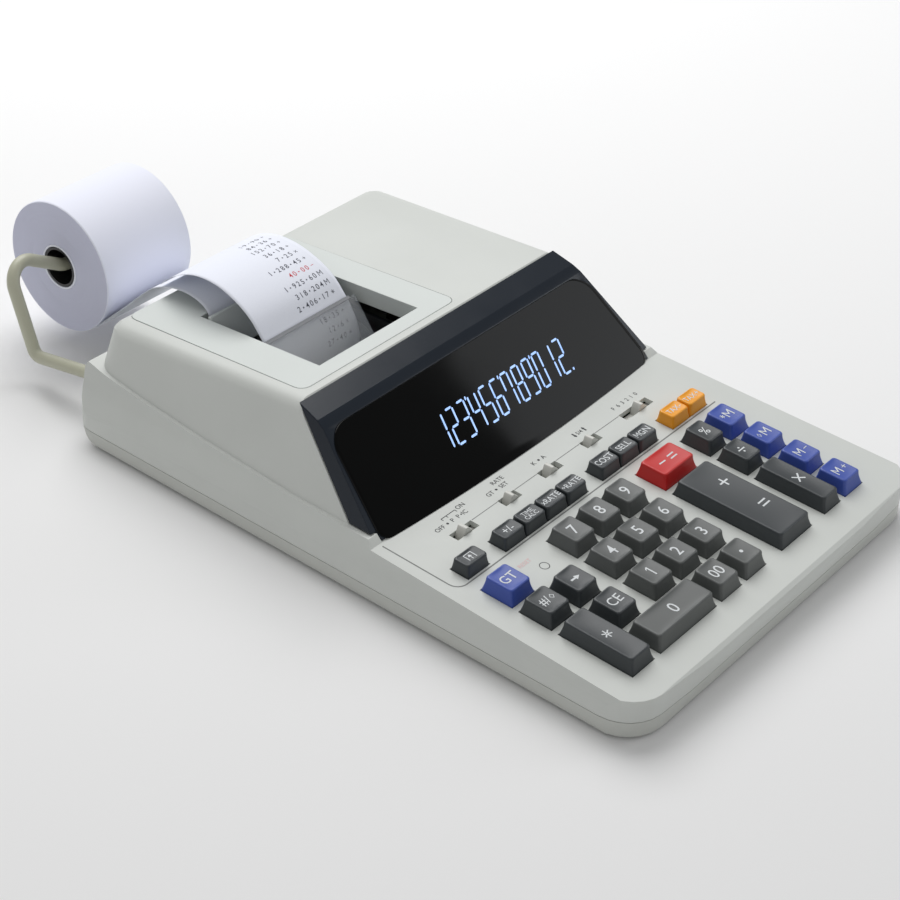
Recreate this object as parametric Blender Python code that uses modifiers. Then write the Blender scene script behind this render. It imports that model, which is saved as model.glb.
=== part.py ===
"""Desk calculator with a paper roll: one object per part, in metres, +Z up, the keys towards -Y.

Dimensions below are millimetres in the body's own frame, where Y = 0 is a little behind the
display's lower edge. The last step moves everything by DATUM_Y, so that the whole model's
bounding box is centred on the origin.
"""

import math

import bmesh
import bpy
from mathutils import Matrix, Vector

MM = 0.001
GAP = 0.3
DATUM_Y = -49.7

# Case
WALL = 2.6
PARTING_Z = 9.0
CASE_BOTTOM_Z = 1.5
HALF_WIDTH = 113.0
DECK_AT_ZERO = 24.67
DECK_SLOPE = 0.0293
PLAN_FRONT = [(0.0, -163.7), (60.0, -162.9), (95.0, -161.2), (HALF_WIDTH, -159.8)]
PLAN_BACK_Y = 163.3
PLAN_FRONT_RADIUS = 19.0
PLAN_BACK_RADIUS = 12.0
# Side outlines (Y, Z) of the two halves of the case, anticlockwise from the lower front corner. The upper one
# runs up the back, along the ledge beside the housing and the deck, and down the rounded front.
LOWER_SIDE = [(-161.4, CASE_BOTTOM_Z), (150.0, CASE_BOTTOM_Z), (158.4, PARTING_Z - GAP), (-162.2, PARTING_Z - GAP)]
UPPER_SIDE = [(-162.2, PARTING_Z), (158.6, PARTING_Z), (163.3, 18.0), (163.3, 30.0), (163.0, 36.0), (161.6, 38.4),
              (150.0, 36.2), (125.0, 33.4), (87.0, 30.5), (31.0, 27.5), (-14.6, 27.2), (-17.6, 24.15),
              (-160.9, 19.95), (-162.9, 18.9), (-163.7, 16.5)]
# Cross sections (X, Z) of the right half, from the bottom up.
LOWER_SECTION = [(112.4, CASE_BOTTOM_Z), (HALF_WIDTH, 4.0), (HALF_WIDTH, PARTING_Z - GAP)]
UPPER_SECTION = [(HALF_WIDTH, PARTING_Z), (HALF_WIDTH, 13.0), (112.3, 17.0), (110.6, 20.6), (108.0, 24.4),
                 (106.0, 27.6), (102.6, 38.6), (100.0, 46.0)]
FOOT_SIZE = 14.0
FOOT_TOP = 2.6
TRAY_TOP = 14.0
FOOT_PLACES = [(-94.0, -138.0), (94.0, -138.0), (-94.0, 128.0), (94.0, 128.0)]
POST_RADIUS = 3.0
POST_PLACES = [(-98.0, -142.0), (98.0, -142.0), (-98.0, -40.0), (98.0, -40.0)]

# Printer housing: a box whose four sides lean inwards, on the back of the case
TOP_AT_ZERO = 69.77
TOP_SLOPE = -0.0756
HOUSING_WIDTH_AT_29 = 103.6
HOUSING_LEAN = 0.30
HOUSING_FRONT_LEAN = 1.045
HOUSING_FRONT_AT_29 = 0.3
HOUSING_BACK_AT_20 = 162.0
HOUSING_BACK_LEAN = 0.11
HOUSING_BASE_Z = 20.0
HOUSING_FRONT_TOP_Y = 41.0
HOUSING_EDGES = [((4, 7), 6.0), ((5, 6), 6.0), ((6, 7), 6.0), ((2, 6), 12.0), ((3, 7), 12.0)]
HOLLOW_EDGES = [((4, 7), 4.0), ((5, 6), 4.0), ((6, 7), 4.0), ((2, 6), 10.0), ((3, 7), 10.0)]
HOLLOW_BASE_Z = 12.0

# Display
FACE_LOW = (-17.4, 24.6)
FACE_HIGH = (22.6, 60.4)
BAR_LOW = (27.2, 62.9)
BEZEL_HEEL = (-4.8, 24.8)
BEZEL_CREST = (37.1, 64.85)
BEZEL_TOP = (38.9, 66.5)
BEZEL_SHOULDER = 100.2
BEZEL_WIDTH_AT_29 = 103.4
PANE_THICKNESS = 2.2
PANE_LOW_HALF = 98.2
PANE_HIGH_HALF = 91.0
PANE_LOW_EDGE = 3.6
PANE_TOP_MARGIN = 1.2
PANE_CORNERS = [7.0, 7.0, 9.0, 9.0]
BEZEL_POCKET = (-18.0, -1.2, 24.2, 45.0)
BEZEL_SHOULDER_Z = 27.75
TUBE_HOLE = (12.0, 38.0)
TUBE_HOLE_DEPTH = 24.0
TUBE_LOW_EDGE = 14.0
TUBE_SIZE = (140.0, 22.0, 5.0)

# Printer cover, paper opening and what shows in it
COVER_X = (-84.0, 22.9)
COVER_Y = (44.0, 154.0)
COVER_RADIUS = 5.0
COVER_THICKNESS = 1.4
OPENING_X = (-63.1, 5.4)
OPENING_Y = (53.0, 127.0)
COLLAR_DEPTH = 9.0
COLLAR_WALL = 1.6
HATCH_MARGIN = 3.0
TEAR_TOP = (89.7, 59.3)
TEAR_LOW = (57.5, 50.0)
TEAR_THICKNESS = 1.2
GUIDE_TOP = (121.0, 61.5)
GUIDE_LOW = (112.0, 46.0)
GUIDE_THICKNESS = 1.6
GUIDE_LIP = 3.0
TEAR_X = (OPENING_X[0] + GAP, 3.0)
TEAR_LOW_RIGHT = -14.0

# Paper
PAPER_X = (-59.0, -1.5)
PAPER_THICKNESS = 0.3
TAPE_PATH = [(82.0, 36.0), (82.2, 43.0), (84.6, 49.8), (88.2, 55.4), (92.2, 60.4), (99.4, 67.8), (108.2, 72.8),
             (119.2, 76.2), (129.8, 76.8), (138.8, 75.2), (146.2, 72.0), (152.6, 67.8), (157.8, 62.9)]
WEB_PATH = [(124.2, 50.0), (125.0, 57.0), (127.6, 61.7), (134.0, 64.6), (141.3, 65.3), (148.6, 64.4), (154.6, 62.6),
            (159.8, 60.4), (163.6, 58.4)]
ROLL_Y = 228.7
ROLL_Z = 43.7
ROLL_RADIUS = 34.4
CORE_RADIUS = 10.4
CORE_WALL = 1.2
SLEEVE_RADIUS = 6.0
SLEEVE_X = (-48.0, -12.0)
CORE_RIBS = 12
RIB_HALF_ANGLE = 0.10
ARM_RADIUS = 3.2
ARM_CORNERS = [(-90.0, 148.0, 24.8), (-91.9, 211.6, 14.4), (-90.8, 231.6, 62.2), (-56.1, 228.7, 43.7),
               (-6.0, 228.7, 43.7)]
ARM_BENDS = [5.0, 10.8, 14.0]
ARM_CLEARANCE = 0.4
ARM_INSIDE = 14.0

# Printer mechanism, board and transformer
PLATEN_YZ = (92.6, 30.0)
PLATEN_RADIUS = 10.0
PLATEN_AXLE = 3.0
DRUM_YZ = (73.4, 36.0)
DRUM_RADIUS = 6.5
DRUM_AXLE = 2.0
BEARING_CLEARANCE = 0.05
FRAME_X = (-72.0, 12.0)
FRAME_PLATE = 2.0
FRAME_Y = (62.0, 108.0)
FRAME_Z = (7.0, 46.0)
MOTOR_RADIUS = 11.0
MOTOR_LENGTH = 30.0
MOTOR_YZ = (76.0, 20.0)
ROLLER_GAP = 0.6
AXLE_END = 1.5
TRANSFORMER_CORE = (56.0, 92.0, 66.0, 108.0, 4.6, 36.0)
TRANSFORMER_COIL = (60.0, 88.0, 58.0, 116.0, 9.0, 31.6)
SHEET_X = (-100.0, 92.0)
SHEET_Y = (-150.0, -46.0)
SHEET_DEPTH = 8.2
SHEET_THICKNESS = 1.4
BOARD_THICKNESS = 1.6
BOARD_X = (-104.0, 104.0)
BOARD_Y = (-153.0, -26.0)

# Keys: columns are (left, right), rows are (front, back)
COLUMNS = {
    "A": (-95.9, -80.5), "B": (-76.1, -61.0), "C": (-50.0, -34.4), "D": (-30.5, -14.9), "E": (-11.0, 4.5),
    "F": (17.3, 42.5), "G": (53.6, 67.4), "H": (71.5, 86.7),
}
ROWS = {1: (-84.9, -68.1), 2: (-105.4, -88.5), 3: (-125.8, -109.0), 4: (-146.3, -129.5)}
KEY_HEIGHT = 7.0
KEY_INSETS = (1.0, 1.6, 0.95)
SMALL_ROW = (-60.0, -50.2)
SMALL_HEIGHT = 5.8
SMALL_INSETS = (0.35, 0.85, 0.4)
KEY_SKIRT = 2.95
KEY_FLANGE = 0.7
KEY_BOTTOM = 4.4
KEY_CORNER = 1.3
KEY_SHOULDER = 0.6
KEY_FOOT = 0.8
GREY = (0.092, 0.099, 0.099)
DARK = (0.031, 0.036, 0.042)
BLUE = (0.048, 0.089, 0.392)
RED = (0.578, 0.013, 0.010)
AMBER = (0.871, 0.376, 0.013)
# name, left column, right column, front row, back row, colour
LARGE_KEYS = [
    ("key_grand_total", "A", "A", 1, 1, BLUE), ("key_non_add", "A", "A", 2, 2, DARK),
    ("key_multiply_left", "A", "A", 4, 3, DARK),
    ("key_shift", "B", "B", 2, 2, DARK), ("key_clear_entry", "B", "B", 3, 3, DARK), ("key_0", "B", "C", 4, 4, GREY),
    ("key_7", "C", "C", 1, 1, GREY), ("key_4", "C", "C", 2, 2, GREY), ("key_1", "C", "C", 3, 3, GREY),
    ("key_8", "D", "D", 1, 1, GREY), ("key_5", "D", "D", 2, 2, GREY), ("key_2", "D", "D", 3, 3, GREY),
    ("key_00", "D", "D", 4, 4, GREY),
    ("key_9", "E", "E", 1, 1, GREY), ("key_6", "E", "E", 2, 2, GREY), ("key_3", "E", "E", 3, 3, GREY),
    ("key_point", "E", "E", 4, 4, GREY),
    ("key_minus", "F", "F", 1, 1, RED), ("key_plus", "F", "F", 4, 2, DARK),
    ("key_percent", "G", "G", 1, 1, DARK), ("key_divide", "G", "G", 2, 2, DARK),
    ("key_multiply", "G", "G", 4, 3, DARK),
    ("key_memory_total", "H", "H", 1, 1, BLUE), ("key_memory_subtotal", "H", "H", 2, 2, BLUE),
    ("key_memory_minus", "H", "H", 3, 3, BLUE), ("key_memory_plus", "H", "H", 4, 4, BLUE),
]
# name, left edge, width, colour
SMALL_KEYS = [
    ("key_feed", -94.1, 14.6, DARK),
    ("key_sign", -68.1, 14.6, DARK), ("key_time", -52.9, 14.6, DARK), ("key_rate_times", -37.7, 14.6, DARK),
    ("key_rate_over", -22.5, 14.6, DARK),
    ("key_cost", 3.1, 14.4, DARK), ("key_sell", 18.1, 14.4, DARK), ("key_margin", 33.1, 14.4, DARK),
    ("key_tax_minus", 59.5, 14.1, AMBER), ("key_tax_plus", 74.2, 14.1, AMBER),
]
# Small keys side by side share one hole in the deck.
SMALL_GROUPS = [(-94.1, -79.5), (-68.1, -7.9), (3.1, 47.5), (59.5, 88.3)]
# name, slot's left end, slot's right end, knob's centre
SWITCHES = [
    ("switch_power", -76.6, -61.7, -69.4), ("switch_rate", -42.6, -30.9, -36.5),
    ("switch_constant", -13.7, -0.1, -7.2),
    ("switch_rounding", 18.6, 30.4, 23.9), ("switch_decimal", 50.1, 71.7, 63.0),
]
SLOT_Y = (-40.4, -35.2)
KNOB_HALF = 3.2
KNOB_HEIGHT = 3.0
KNOB_PLATE = (-4.6, -3.2)

for old in list(bpy.data.objects):
    bpy.data.objects.remove(old, do_unlink=True)

PARTS = bpy.data.collections.new("desk_calculator")
CUTTERS = bpy.data.collections.new("cutters")
bpy.context.scene.collection.children.link(PARTS)
bpy.context.scene.collection.children.link(CUTTERS)


def deck_z(y):
    return DECK_AT_ZERO + DECK_SLOPE * y


def top_z(y):
    return TOP_AT_ZERO + TOP_SLOPE * y


def material(name, colour, roughness, metallic=0.0):
    """A Principled material with one colour."""
    made = bpy.data.materials.new(name)
    made.use_nodes = True
    shader = made.node_tree.nodes["Principled BSDF"]
    shader.inputs["Base Color"].default_value = (*colour, 1.0)
    shader.inputs["Roughness"].default_value = roughness
    shader.inputs["Metallic"].default_value = metallic
    return made


def rounded_path(points, radii, steps, closed=True):
    """The path with each corner of a non-zero radius replaced by an arc of steps + 1 points."""
    points = [Vector(p).to_3d() for p in points]
    made = []
    for index, corner in enumerate(points):
        at_end = not closed and index in (0, len(points) - 1)
        radius = 0.0 if at_end else radii[index]
        if radius == 0.0:
            made.append(corner)
            continue
        back = (points[index - 1] - corner).normalized()
        ahead = (points[(index + 1) % len(points)] - corner).normalized()
        half = back.angle(ahead) / 2
        centre = corner + (back + ahead).normalized() * (radius / math.sin(half))
        first = corner + back * (radius / math.tan(half))
        last = corner + ahead * (radius / math.tan(half))
        sweep = math.pi - 2 * half
        for step in range(steps + 1):
            part = sweep * step / steps
            start_share = math.sin(sweep - part) / math.sin(sweep)
            end_share = math.sin(part) / math.sin(sweep)
            made.append(centre + (first - centre) * start_share + (last - centre) * end_share)
    return made


def inset(outline, distance):
    """The closed anticlockwise outline with every edge moved inwards by distance."""
    points = [Vector(p).to_2d() for p in outline]
    made = []
    for index, corner in enumerate(points):
        before = (corner - points[index - 1]).normalized()
        after = (points[(index + 1) % len(points)] - corner).normalized()
        inward_before = Vector((-before.y, before.x))
        inward_after = Vector((-after.y, after.x))
        bisector = (inward_before + inward_after).normalized()
        made.append(corner + bisector * (distance / bisector.dot(inward_before)))
    return made


def circle(radius, centre=(0.0, 0.0), count=48):
    angles = [2 * math.pi * step / count for step in range(count)]
    return [(centre[0] + radius * math.cos(a), centre[1] + radius * math.sin(a)) for a in angles]


def ring_sector(low, high, start, end, count=3):
    """A closed outline between two radii and two angles."""
    angles = [start + (end - start) * step / count for step in range(count + 1)]
    outer = [(high * math.cos(a), high * math.sin(a)) for a in angles]
    inner = [(low * math.cos(a), low * math.sin(a)) for a in reversed(angles)]
    return outer + inner


def ribbon(path, thickness):
    """The outline of a sheet of even thickness along a path."""
    points = [Vector(p) for p in path]
    left, right = [], []
    for index, point in enumerate(points):
        along = (points[min(index + 1, len(points) - 1)] - points[max(index - 1, 0)]).normalized()
        across = Vector((-along.y, along.x)) * (thickness / 2)
        left.append(point + across)
        right.append(point - across)
    return left + right[::-1]


def keep(obj, collection, surface):
    for other in list(obj.users_collection):
        other.objects.unlink(obj)
    collection.objects.link(obj)
    if collection is CUTTERS:
        obj.hide_render = True
        obj.display_type = "WIRE"
    elif surface is not None:
        obj.data.materials.clear()
        obj.data.materials.append(surface)
    return obj


def from_bmesh(name, bm, surface=None, origin=(0.0, 0.0, 0.0)):
    """An object from a bmesh in millimetres. With no surface it is a cutter or a piece to be joined."""
    bmesh.ops.recalc_face_normals(bm, faces=bm.faces)
    bmesh.ops.scale(bm, vec=(MM, MM, MM), verts=bm.verts)
    bmesh.ops.translate(bm, vec=-Vector(origin) * MM, verts=bm.verts)
    mesh = bpy.data.meshes.new(name)
    bm.to_mesh(mesh)
    bm.free()
    obj = bpy.data.objects.new(name, mesh)
    obj.location = Vector(origin) * MM
    return keep(obj, CUTTERS if surface is None else PARTS, surface)


def prism(name, loops, axis, low, high, surface=None, origin=(0.0, 0.0, 0.0)):
    """Flat outlines extruded along one axis. Outlines are (Y, Z) along X, (X, Z) along Y and (X, Y) along Z."""
    curve = bpy.data.curves.new(name, "CURVE")
    curve.dimensions = "2D"
    curve.fill_mode = "BOTH"
    curve.extrude = (high - low) / 2
    for loop in loops:
        spline = curve.splines.new("POLY")
        spline.points.add(len(loop) - 1)
        for point, corner in zip(spline.points, loop):
            point.co = (corner[0], corner[1], 0.0, 1.0)
        spline.use_cyclic_u = True
    holder = bpy.data.objects.new(name + "_outline", curve)
    bpy.context.scene.collection.objects.link(holder)
    graph = bpy.context.evaluated_depsgraph_get()
    flat = bpy.data.meshes.new_from_object(holder.evaluated_get(graph))
    bpy.data.objects.remove(holder, do_unlink=True)
    bm = bmesh.new()
    bm.from_mesh(flat)
    bpy.data.meshes.remove(flat)
    bmesh.ops.remove_doubles(bm, verts=bm.verts, dist=0.001)
    middle = (low + high) / 2
    if axis == "X":
        turn = Matrix(((0, 0, 1, middle), (1, 0, 0, 0), (0, 1, 0, 0), (0, 0, 0, 1)))
    elif axis == "Y":
        turn = Matrix(((1, 0, 0, 0), (0, 0, -1, middle), (0, 1, 0, 0), (0, 0, 0, 1)))
    else:
        turn = Matrix.Translation((0, 0, middle))
    bmesh.ops.transform(bm, matrix=turn, verts=bm.verts)
    return from_bmesh(name, bm, surface, origin)


def boxes(name, spans, surface=None):
    """Separate boxes in one mesh, each given as (x low, x high, y low, y high, z low, z high)."""
    bm = bmesh.new()
    for x0, x1, y0, y1, z0, z1 in spans:
        size = Matrix.Diagonal((x1 - x0, y1 - y0, z1 - z0, 1.0))
        place = Matrix.Translation(((x0 + x1) / 2, (y0 + y1) / 2, (z0 + z1) / 2))
        bmesh.ops.create_cube(bm, size=1.0, matrix=place @ size)
    return from_bmesh(name, bm, surface)


def rods(name, spans):
    """Separate cylinders along X in one mesh, each given as (x low, x high, y, z, radius)."""
    bm = bmesh.new()
    for x0, x1, y, z, radius in spans:
        place = Matrix.Translation(((x0 + x1) / 2, y, z)) @ Matrix.Rotation(math.pi / 2, 4, "Y")
        bmesh.ops.create_cone(bm, cap_ends=True, segments=24, radius1=radius, radius2=radius, depth=x1 - x0,
                              matrix=place)
    return from_bmesh(name, bm)


def corner_box(name, lower, upper, edge_widths=(), surface=None):
    """A box from four lower and four upper corners, with edges rounded where (corner pair, radius) is given."""
    bm = bmesh.new()
    made = bmesh.ops.create_cube(bm, size=2.0)["verts"]
    order = {(-1, -1): 0, (1, -1): 1, (1, 1): 2, (-1, 1): 3}
    numbered = {}
    for vert in made:
        place = order[(round(vert.co.x), round(vert.co.y))]
        number = place + (4 if vert.co.z > 0 else 0)
        numbered[vert] = number
    for vert, number in numbered.items():
        vert.co = Vector(upper[number - 4] if number > 3 else lower[number])
    weight = bm.edges.layers.float.new("bevel_weight_edge")
    widest = max((radius for _, radius in edge_widths), default=0.0)
    for edge in bm.edges:
        pair = tuple(sorted(numbered[v] for v in edge.verts))
        for wanted, radius in edge_widths:
            if pair == wanted:
                edge[weight] = radius / widest
    obj = from_bmesh(name, bm, surface)
    if widest:
        bevel = obj.modifiers.new("edges", "BEVEL")
        bevel.limit_method = "WEIGHT"
        bevel.width = widest * MM
        bevel.segments = 5
        bevel.use_clamp_overlap = False
    return obj


def combine(target, other, operation):
    modifier = target.modifiers.new(operation.lower() + "_" + other.name, "BOOLEAN")
    modifier.operation = operation
    modifier.solver = "EXACT"
    modifier.object = other
    return target


def smooth(obj, degrees=32.0):
    """Smooth shading with sharp edges where faces meet at more than the angle."""
    obj.data.shade_smooth()
    obj.data.set_sharp_from_angle(angle=math.radians(degrees))
    return obj


# Materials
SHELL = material("case_plastic", (0.56, 0.60, 0.58), 0.45)
SHELL_LOW = material("base_plastic", (0.44, 0.46, 0.45), 0.5)
COVER = material("cover_plastic", (0.58, 0.62, 0.60), 0.45)
NAVY = material("bezel_plastic", (0.022, 0.032, 0.048), 0.3)
PANE = material("display_pane", (0.004, 0.005, 0.005), 0.08)
TUBE = material("display_glass", (0.10, 0.14, 0.16), 0.15)
SMOKE = material("tear_plastic", (0.06, 0.07, 0.08), 0.2)
GUIDE = material("guide_plastic", (0.55, 0.58, 0.55), 0.45)
PAPER = material("tape_paper", (0.82, 0.84, 0.93), 0.85)
WEB = material("web_paper", (0.80, 0.82, 0.92), 0.85)
ROLL = material("roll_paper", (0.78, 0.80, 0.93), 0.9)
CORE = material("core_plastic", (0.012, 0.012, 0.013), 0.5)
ARM = material("arm_plastic", (0.41, 0.41, 0.32), 0.45)
BOARD = material("circuit_board", (0.03, 0.16, 0.06), 0.5)
SHEET = material("key_rubber", (0.35, 0.36, 0.36), 0.8)
STEEL = material("printer_steel", (0.55, 0.56, 0.58), 0.35, 1.0)
RUBBER = material("platen_rubber", (0.03, 0.03, 0.03), 0.85)
DRUM = material("drum_plastic", (0.09, 0.09, 0.10), 0.5)
IRON = material("transformer_iron", (0.20, 0.19, 0.18), 0.55, 0.8)


def plan_outline(extra):
    """Plan of the case (X, Y), anticlockwise, moved inwards by extra."""
    right = [(x, y) for x, y in PLAN_FRONT] + [(HALF_WIDTH, PLAN_BACK_Y)]
    left = [(-x, y) for x, y in reversed(right) if x > 0]
    radii = [PLAN_FRONT_RADIUS if (abs(x), y) == PLAN_FRONT[-1] else PLAN_BACK_RADIUS if y == PLAN_BACK_Y else 0.0
             for x, y in right + left]
    return inset(rounded_path(right + left, radii, 6), extra)


def case_block(name, side, section, extra, low, high):
    """The form shared by a side outline, a cross section and the plan. With extra it is the hollow inside."""
    outline = inset(side, extra)
    across = inset(section + [(-x, z) for x, z in reversed(section)], extra)
    if extra:
        outline = [(y, low if index < 2 else z) for index, (y, z) in enumerate(outline)]
        across[0].y = low
        across[-1].y = low
    block = prism(name, [outline], "X", -120.0, 120.0)
    combine(block, prism(name + "_plan", [plan_outline(extra)], "Z", low - 1.0, high), "INTERSECT")
    combine(block, prism(name + "_section", [across], "Y", -170.0, 170.0), "INTERSECT")
    return block


def housing_corners(extra, low):
    """Four lower and four upper corners of the printer housing, moved inwards by extra.

    A leaning wall is crossed at a slant, so a level step through it is longer than the wall is thick.
    """
    front = HOUSING_FRONT_AT_29 + extra * math.hypot(1.0, HOUSING_FRONT_LEAN)
    side = extra * math.hypot(1.0, HOUSING_LEAN)
    back = HOUSING_BACK_AT_20 - extra

    def half_width(z):
        return HOUSING_WIDTH_AT_29 - HOUSING_LEAN * (z - 29.0) - side

    def front_y(z):
        return front + (z - 29.0) * HOUSING_FRONT_LEAN

    z_front = top_z(HOUSING_FRONT_TOP_Y + extra) - extra
    z_back = top_z(back) - extra
    y_back = back - HOUSING_BACK_LEAN * (z_back - HOUSING_BASE_Z)
    lower = [(-half_width(low), front_y(low), low), (half_width(low), front_y(low), low),
             (half_width(low), back, low), (-half_width(low), back, low)]
    upper = [(-half_width(z_front), front_y(z_front), z_front), (half_width(z_front), front_y(z_front), z_front),
             (half_width(z_back), y_back, z_back), (-half_width(z_back), y_back, z_back)]
    return lower, upper


def sloping_prism(name, outline, depth_low, depth_high, surface=None):
    """An outline given as (X, distance up the face), extruded between two depths behind the display's face."""
    made = prism(name, [outline], "Z", -depth_high, -depth_low, surface)
    low, high = Vector(FACE_LOW), Vector(FACE_HIGH)
    angle = math.atan2(high.y - low.y, high.x - low.x)
    turn = Matrix.Rotation(angle, 4, "X")
    place = Matrix.Translation((0, low.x * MM, low.y * MM))
    made.data.transform(place @ turn)
    return made


def key(name, x, y, height, insets, colour):
    """A keycap lofted through rings: flange, stem, base of the cap, rounded shoulder and top."""
    x0, x1 = x
    y0, y1 = y
    side, front, back = insets
    base = deck_z((y0 + y1) / 2)
    levels = [
        (-KEY_BOTTOM, 0.0, KEY_FLANGE, KEY_FLANGE), (-KEY_SKIRT, 0.0, KEY_FLANGE, KEY_FLANGE),
        (-KEY_SKIRT + 0.01, 0.0, 0.0, 0.0), (KEY_FOOT, 0.0, 0.0, 0.0),
        (height - KEY_SHOULDER, -side, -front, -back),
        (height, -side - KEY_SHOULDER, -front - KEY_SHOULDER, -back - KEY_SHOULDER),
    ]
    bm = bmesh.new()
    rings = []
    for rise, grow_side, grow_front, grow_back in levels:
        low_x, high_x = x0 - grow_side, x1 + grow_side
        low_y, high_y = y0 - grow_front, y1 + grow_back
        cut = KEY_CORNER
        outline = [
            (low_x + cut, low_y), (high_x - cut, low_y), (high_x, low_y + cut), (high_x, high_y - cut),
            (high_x - cut, high_y), (low_x + cut, high_y), (low_x, high_y - cut), (low_x, low_y + cut),
        ]
        rings.append([bm.verts.new((px, py, base + rise + DECK_SLOPE * (py - (y0 + y1) / 2))) for px, py in outline])
    for lower, upper in zip(rings, rings[1:]):
        for index in range(len(lower)):
            after = (index + 1) % len(lower)
            bm.faces.new((lower[index], lower[after], upper[after], upper[index]))
    bm.faces.new(rings[0][::-1])
    bm.faces.new(rings[-1])
    centre = ((x0 + x1) / 2, (y0 + y1) / 2, base)
    from_bmesh(name, bm, material(name, colour, 0.5), centre)


# Lower half of the case: a tray with moulded feet and posts for the board
lower_case = case_block("lower_case", LOWER_SIDE, LOWER_SECTION, 0.0, CASE_BOTTOM_Z, 20.0)
keep(lower_case, PARTS, SHELL_LOW)
lower_case.hide_render = False
lower_case.display_type = "TEXTURED"
tray = case_block("tray_hollow", LOWER_SIDE[:2] + [(158.4, TRAY_TOP), (-162.2, TRAY_TOP)],
                  LOWER_SECTION[:2] + [(HALF_WIDTH, TRAY_TOP)], WALL, CASE_BOTTOM_Z + WALL, 30.0)
combine(lower_case, tray, "DIFFERENCE")
half_foot = FOOT_SIZE / 2
combine(lower_case, boxes("feet", [(x - half_foot, x + half_foot, y - half_foot, y + half_foot, 0.0, FOOT_TOP)
                                   for x, y in FOOT_PLACES]), "UNION")
posts = bmesh.new()
for post_x, post_y in POST_PLACES:
    post_top = deck_z(post_y) - SHEET_DEPTH - SHEET_THICKNESS - BOARD_THICKNESS - 3 * GAP
    post_low = CASE_BOTTOM_Z + 1.0
    bmesh.ops.create_cone(posts, cap_ends=True, segments=16, radius1=POST_RADIUS, radius2=POST_RADIUS,
                          depth=post_top - post_low,
                          matrix=Matrix.Translation((post_x, post_y, (post_top + post_low) / 2)))
combine(lower_case, from_bmesh("posts", posts), "UNION")

# Upper half of the case: deck and printer housing in one shell
upper_case = case_block("upper_case", UPPER_SIDE, UPPER_SECTION, 0.0, PARTING_Z, 60.0)
keep(upper_case, PARTS, SHELL)
upper_case.hide_render = False
upper_case.display_type = "TEXTURED"
housing = corner_box("housing", *housing_corners(0.0, HOUSING_BASE_Z), HOUSING_EDGES)
combine(upper_case, housing, "UNION")
combine(upper_case, case_block("case_hollow", UPPER_SIDE, UPPER_SECTION, WALL, PARTING_Z - 2.0, 60.0), "DIFFERENCE")
combine(upper_case, corner_box("housing_hollow", *housing_corners(WALL, HOLLOW_BASE_Z), HOLLOW_EDGES), "DIFFERENCE")

cover_outline = rounded_path([(COVER_X[0], COVER_Y[0]), (COVER_X[1], COVER_Y[0]), (COVER_X[1], COVER_Y[1]),
                              (COVER_X[0], COVER_Y[1])], [COVER_RADIUS] * 4, 4)


def top_band(name, x, y, depth_low, depth_high, surface=None):
    """A slab under the housing's sloping top, between two depths below it."""
    corners = [(y[0], top_z(y[0]) - depth_high), (y[1], top_z(y[1]) - depth_high), (y[1], top_z(y[1]) - depth_low),
               (y[0], top_z(y[0]) - depth_low)]
    return prism(name, [corners], "X", x[0], x[1], surface)


recess = top_band("cover_recess", (-100.0, 40.0), (30.0, 170.0), -3.0, COVER_THICKNESS + GAP)
combine(recess, prism("cover_recess_plan", [inset(cover_outline, -GAP)], "Z", 40.0, 80.0), "INTERSECT")
combine(upper_case, recess, "DIFFERENCE")
hatch = (COVER_X[0] + HATCH_MARGIN, COVER_X[1] - HATCH_MARGIN, COVER_Y[0] + HATCH_MARGIN, COVER_Y[1] - HATCH_MARGIN)
combine(upper_case, boxes("cover_hatch", [(*hatch, 50.0, 75.0)]), "DIFFERENCE")
tube_half = TUBE_SIZE[0] / 2 + 1.0
tube_hole = [(-tube_half, TUBE_HOLE[0]), (tube_half, TUBE_HOLE[0]), (tube_half, TUBE_HOLE[1]),
             (-tube_half, TUBE_HOLE[1])]
combine(upper_case, sloping_prism("tube_hole", tube_hole, PANE_THICKNESS + 1.0, TUBE_HOLE_DEPTH), "DIFFERENCE")
pocket_half = BEZEL_SHOULDER + GAP
combine(upper_case, boxes("bezel_pocket", [(-pocket_half, pocket_half, *BEZEL_POCKET)]), "DIFFERENCE")

holes = []
for label, first, last, front_row, back_row, _ in LARGE_KEYS:
    holes.append((COLUMNS[first][0] - GAP, COLUMNS[last][1] + GAP, ROWS[front_row][0] - GAP, ROWS[back_row][1] + GAP,
                  PARTING_Z + 1.0, 40.0))
for left, right in SMALL_GROUPS:
    holes.append((left - GAP, right + GAP, SMALL_ROW[0] - GAP, SMALL_ROW[1] + GAP, PARTING_Z + 1.0, 40.0))
for label, left, right, _ in SWITCHES:
    holes.append((left, right, *SLOT_Y, PARTING_Z + 1.0, 40.0))
combine(upper_case, boxes("key_holes", holes), "DIFFERENCE")
arm_socket = rods("arm_socket", [(-12.0, 12.0, 0.0, 0.0, ARM_RADIUS + GAP)])
arm_start, arm_bend = Vector(ARM_CORNERS[0]), Vector(ARM_CORNERS[1])
arm_along = (arm_bend - arm_start).normalized()
arm_turn = Vector((1.0, 0.0, 0.0)).rotation_difference(arm_along).to_matrix().to_4x4()
wall_point = arm_start + arm_along * ARM_INSIDE
arm_socket.data.transform(Matrix.Translation(wall_point * MM) @ arm_turn)
combine(upper_case, arm_socket, "DIFFERENCE")

# Display: bezel, pane and glass tube
slope_length = (Vector(FACE_HIGH) - Vector(FACE_LOW)).length


def bezel_half(z):
    return BEZEL_WIDTH_AT_29 - HOUSING_LEAN * (z - 29.0)


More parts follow.
